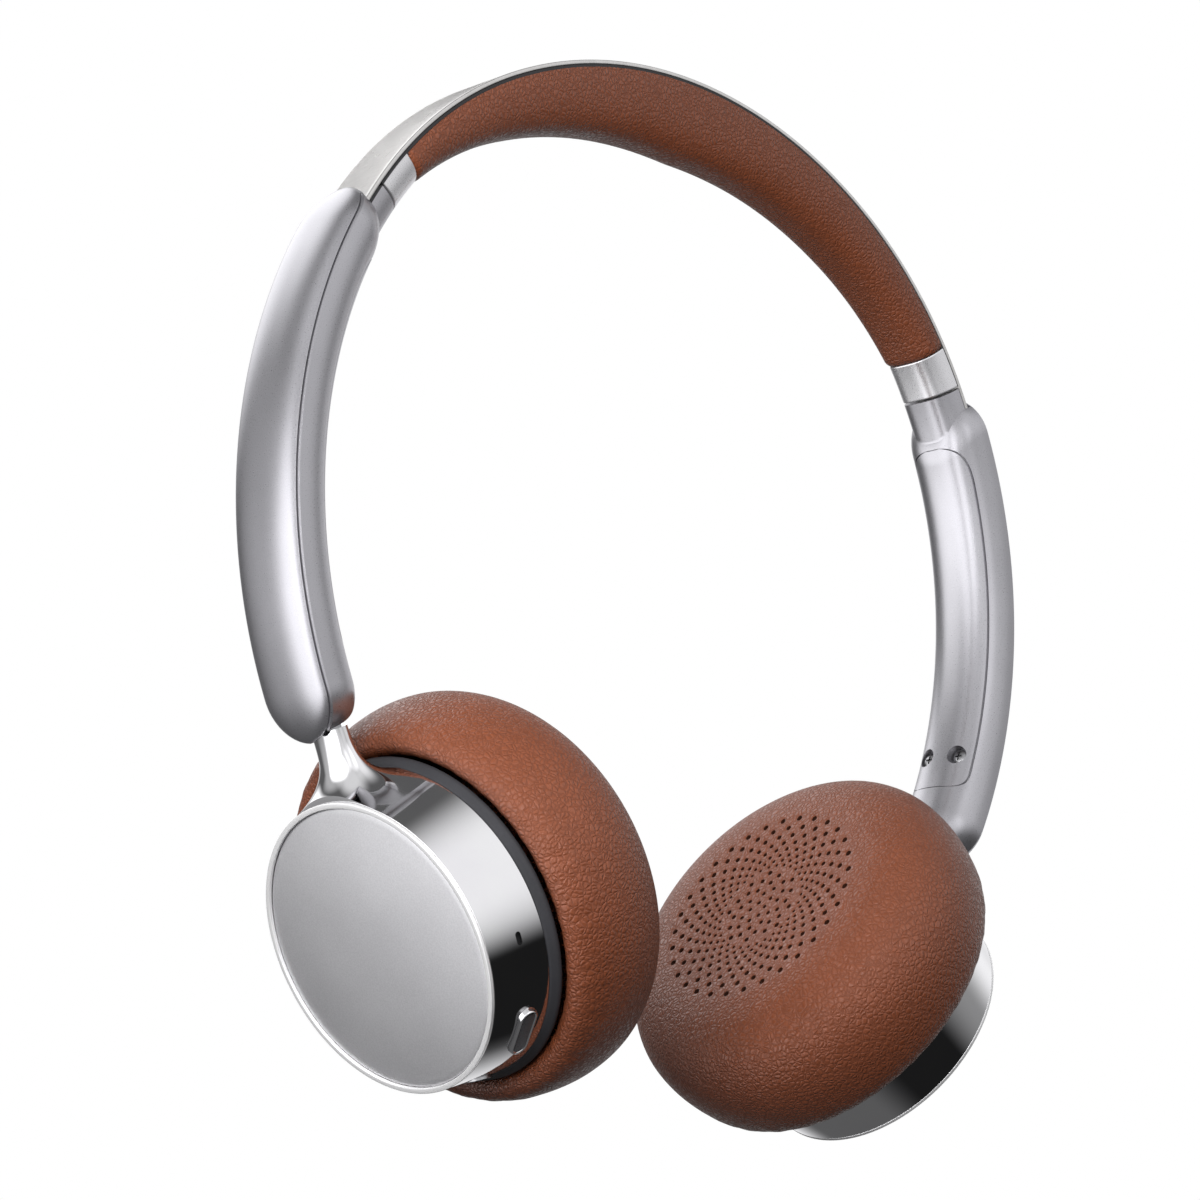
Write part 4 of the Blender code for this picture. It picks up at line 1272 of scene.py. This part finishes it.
def make_button(name):
    """Button with a polished rim round a satin face that sits slightly lower."""
    angle, length, width = BUTTONS[name]
    place = wall_place(cup_place("right"), angle, BUTTON_HEIGHT)
    stages = [(0.0, -1.6), (0.0, 0.25), (0.06, 0.46), (0.18, 0.58), (0.34, 0.60), (0.46, 0.52),
              (0.52, 0.44), (0.9, 0.47)]
    rings = capsule(place, length, width, [(inset * MM, height * MM) for inset, height in stages])
    mesh = make_mesh(name, *skin(rings))
    mesh.materials.append(MATERIALS["chrome"])
    mesh.materials.append(MATERIALS["satin_silver"])
    around = len(rings[0])
    foot = (len(stages) - 1) * around
    for polygon in mesh.polygons:
        if polygon.index >= foot - around and polygon.index != foot:
            polygon.material_index = 1
    item = make_object(name.replace("button", "key"), mesh)
    finish_piece(item, name, "chrome", [name], 40)


def make_port():
    """Charging socket: a thin steel shell with a dark tongue inside."""
    angle, length, width = PORT
    place = wall_place(cup_place("right"), angle, BUTTON_HEIGHT)
    stages = [(0.0, -4.6), (0.0, -0.12), (0.12, 0.0), (0.45, 0.0), (0.6, -0.2), (0.62, -3.9)]
    rings = capsule(place, length, width, [(inset * MM, height * MM) for inset, height in stages])
    finish_piece(ring_object("socket_shell", rings), "cup_right", "dark_plastic", ["usb_port"], 40,
                 "hinge_steel")
    stages = [(0.0, -3.85 * MM), (0.0, -0.9 * MM), (0.15 * MM, -0.7 * MM)]
    make_piece("socket_tongue", capsule(place, 6.6 * MM, 0.8 * MM, stages), "cup_right", "black_plastic")


# ------------------------------------------------------------- light and camera


# Panels of the studio as (direction, cosine at the edge, cosine where full, strength)
STUDIO_LOBES = (
    ((0.14, -0.82, 0.55), 0.60, 0.98, 0.95),
    ((0.00, 0.76, 0.65), 0.87, 0.99, 2.00),
    ((-0.75, 0.65, -0.05), 0.80, 0.98, 0.42),
    ((-0.95, 0.12, -0.30), 0.76, 0.96, 2.30),
    ((-0.85, -0.15, 0.50), 0.72, 0.97, 0.70),
    ((-0.45, -0.87, 0.05), 0.80, 0.98, 0.90),
    ((-0.84, -0.40, -0.25), 0.82, 0.98, 0.75),
    ((0.88, -0.38, 0.28), 0.76, 0.98, 0.30),
    ((0.85, 0.50, 0.30), 0.60, 0.95, 0.80),
    ((0.80, -0.45, -0.40), 0.70, 0.90, -0.11),
)
STUDIO_LEVEL = 0.12
STUDIO_LEAST = 0.012
STUDIO_TINT = (0.985, 0.985, 1.0, 1.0)

# Soft light on matt surfaces, from a low level to a high one along an axis
SKY_AXIS = (-0.66, -0.20, 0.72)
SKY_LOW = 0.07
SKY_HIGH = 0.50

# Area lights as (name, place, aim, size, power, seen in reflections)
LIGHTS = (
    ("rear", (-0.007, 0.084, -0.052), (0.077, 0.0, -0.035), 0.05, 0.012, True),
    ("under", (-0.30, -0.22, -0.06), (0.04, 0.0, 0.0), 0.15, 1.9, False),
    ("key", (-0.86, -0.06, 0.51), (0.0, 0.0, -0.07), 0.4, 6.0, False),
)
FLOOR_RADIUS = 3.0
FLOOR_HEIGHT = -0.6
FLOOR_SIDES = 64

# Camera: angles in degrees, lens and sensor in millimetres
CAMERA_PLACE = (-0.37068, -0.37402, -0.19700)
CAMERA_HEADING = 46.3064
CAMERA_PITCH = 13.0525
CAMERA_ROLL = 2.3121
CAMERA_LENS = 100.669
CAMERA_SENSOR = 36.0


def make_area_light(name, place, aim, size, power, glossy):
    light = bpy.data.lights.new(name, "AREA")
    light.shape = "RECTANGLE"
    light.size = light.size_y = size
    light.energy = power
    item = bpy.data.objects.new(name, light)
    bpy.context.collection.objects.link(item)
    item.location = place
    item.rotation_mode = "QUATERNION"
    item.rotation_quaternion = (Vector(aim) - Vector(place)).to_track_quat("-Z", "Y")
    item.visible_glossy = glossy
    item.visible_camera = False


def panel(tree, direction, axis, span, levels):
    """A level that rises smoothly with how nearly a direction faces along an axis."""
    axis = Vector(axis).normalized()
    facing = vector_math(tree, "DOT_PRODUCT", {0: direction, 1: axis}).outputs[1]
    inputs = {0: facing, 1: span[0], 2: span[1], 3: levels[0], 4: levels[1]}
    return add(tree, "ShaderNodeMapRange", inputs, interpolation_type="SMOOTHSTEP").outputs[0]


def make_world():
    """White to the camera; for everything else a soft studio of wide bright and dark panels."""
    world = bpy.data.worlds.new("studio")
    bpy.context.scene.world = world
    bpy.context.scene.view_settings.view_transform = "Standard"
    world.use_nodes = True
    tree = world.node_tree
    tree.nodes.clear()
    source = add(tree, "ShaderNodeTexCoord").outputs["Generated"]
    direction = vector_math(tree, "NORMALIZE", {0: source}).outputs[0]
    level = STUDIO_LEVEL
    for axis, start, full, strength in STUDIO_LOBES:
        lobe = panel(tree, direction, axis, (start, full), (0.0, strength))
        level = add(tree, "ShaderNodeMath", {0: level, 1: lobe}, operation="ADD").outputs[0]
    level = add(tree, "ShaderNodeMath", {0: level, 1: STUDIO_LEAST}, operation="MAXIMUM").outputs[0]
    soft = panel(tree, direction, SKY_AXIS, (0.0, 1.0), (SKY_LOW, SKY_HIGH))
    path = add(tree, "ShaderNodeLightPath")
    level = blend(tree, path.outputs["Is Diffuse Ray"], level, soft)
    studio = add(tree, "ShaderNodeBackground", {0: STUDIO_TINT, 1: level}).outputs[0]
    white = add(tree, "ShaderNodeBackground", {0: (1, 1, 1, 1), 1: 1.0}).outputs[0]
    mixed = add(tree, "ShaderNodeMixShader", {0: path.outputs["Is Camera Ray"], 1: studio, 2: white})
    add(tree, "ShaderNodeOutputWorld", {0: mixed.outputs[0]})


def pale_floor():
    """Matt white floor that glows a little, so that it stays pale in the soft light."""
    material, tree, shader = new_material("floor")
    mottle = noise(tree, position(tree), 30, 3)
    colour = ramp(tree, mottle, [(0.3, (0.90, 0.90, 0.90)), (0.7, (0.93, 0.93, 0.93))])
    set_inputs(tree, shader, Base_Color=colour, Roughness=0.8, Emission_Color=colour,
               Emission_Strength=0.62)
    return material


def make_floor():
    turns = np.linspace(0, 2 * math.pi, FLOOR_SIDES, endpoint=False)
    ring = [(FLOOR_RADIUS * math.cos(turn), FLOOR_RADIUS * math.sin(turn), FLOOR_HEIGHT) for turn in turns]
    mesh = bpy.data.meshes.new("floor")
    mesh.from_pydata(ring, [], [tuple(range(FLOOR_SIDES))])
    item = make_object("floor", mesh)
    mesh.materials.append(pale_floor())
    item.visible_glossy = False
    item.visible_diffuse = False


def make_camera():
    camera = bpy.data.cameras.new("camera")
    camera.lens = CAMERA_LENS
    camera.sensor_width = CAMERA_SENSOR
    item = bpy.data.objects.new("camera", camera)
    bpy.context.collection.objects.link(item)
    heading, pitch, roll = (math.radians(angle) for angle in (CAMERA_HEADING, CAMERA_PITCH, CAMERA_ROLL))
    forward = Vector((math.cos(pitch) * math.cos(heading), math.cos(pitch) * math.sin(heading),
                      math.sin(pitch)))
    level = forward.cross(Vector((0, 0, 1))).normalized()
    upright = level.cross(forward)
    right = level * math.cos(roll) + upright * math.sin(roll)
    item.matrix_world = place_of(right, right.cross(forward), -forward, CAMERA_PLACE)
    bpy.context.scene.camera = item


def main():
    dress_frame()
    make_steel_band()
    make_band_lining()
    make_headband_cushion()
    for side_name, side in SIDES.items():
        make_end_cap(side_name, side)
        make_arm_body(side_name, side)
        make_arm_cover(side_name, side)
        make_arm_lid(side_name, side)
        make_arm_guide(side_name, side)
        make_screw(side_name, side, "front", -SCREW_OFFSET)
        make_screw(side_name, side, "rear", SCREW_OFFSET)
        make_housing(side_name)
        make_trim_ring(side_name)
        make_plate(side_name)
        make_seal(side_name)
        make_ear_pad(side_name)
    for name in BUTTONS:
        make_button(name)
    make_port()
    make_floor()
    make_world()
    for light in LIGHTS:
        make_area_light(*light)
    make_camera()


main()
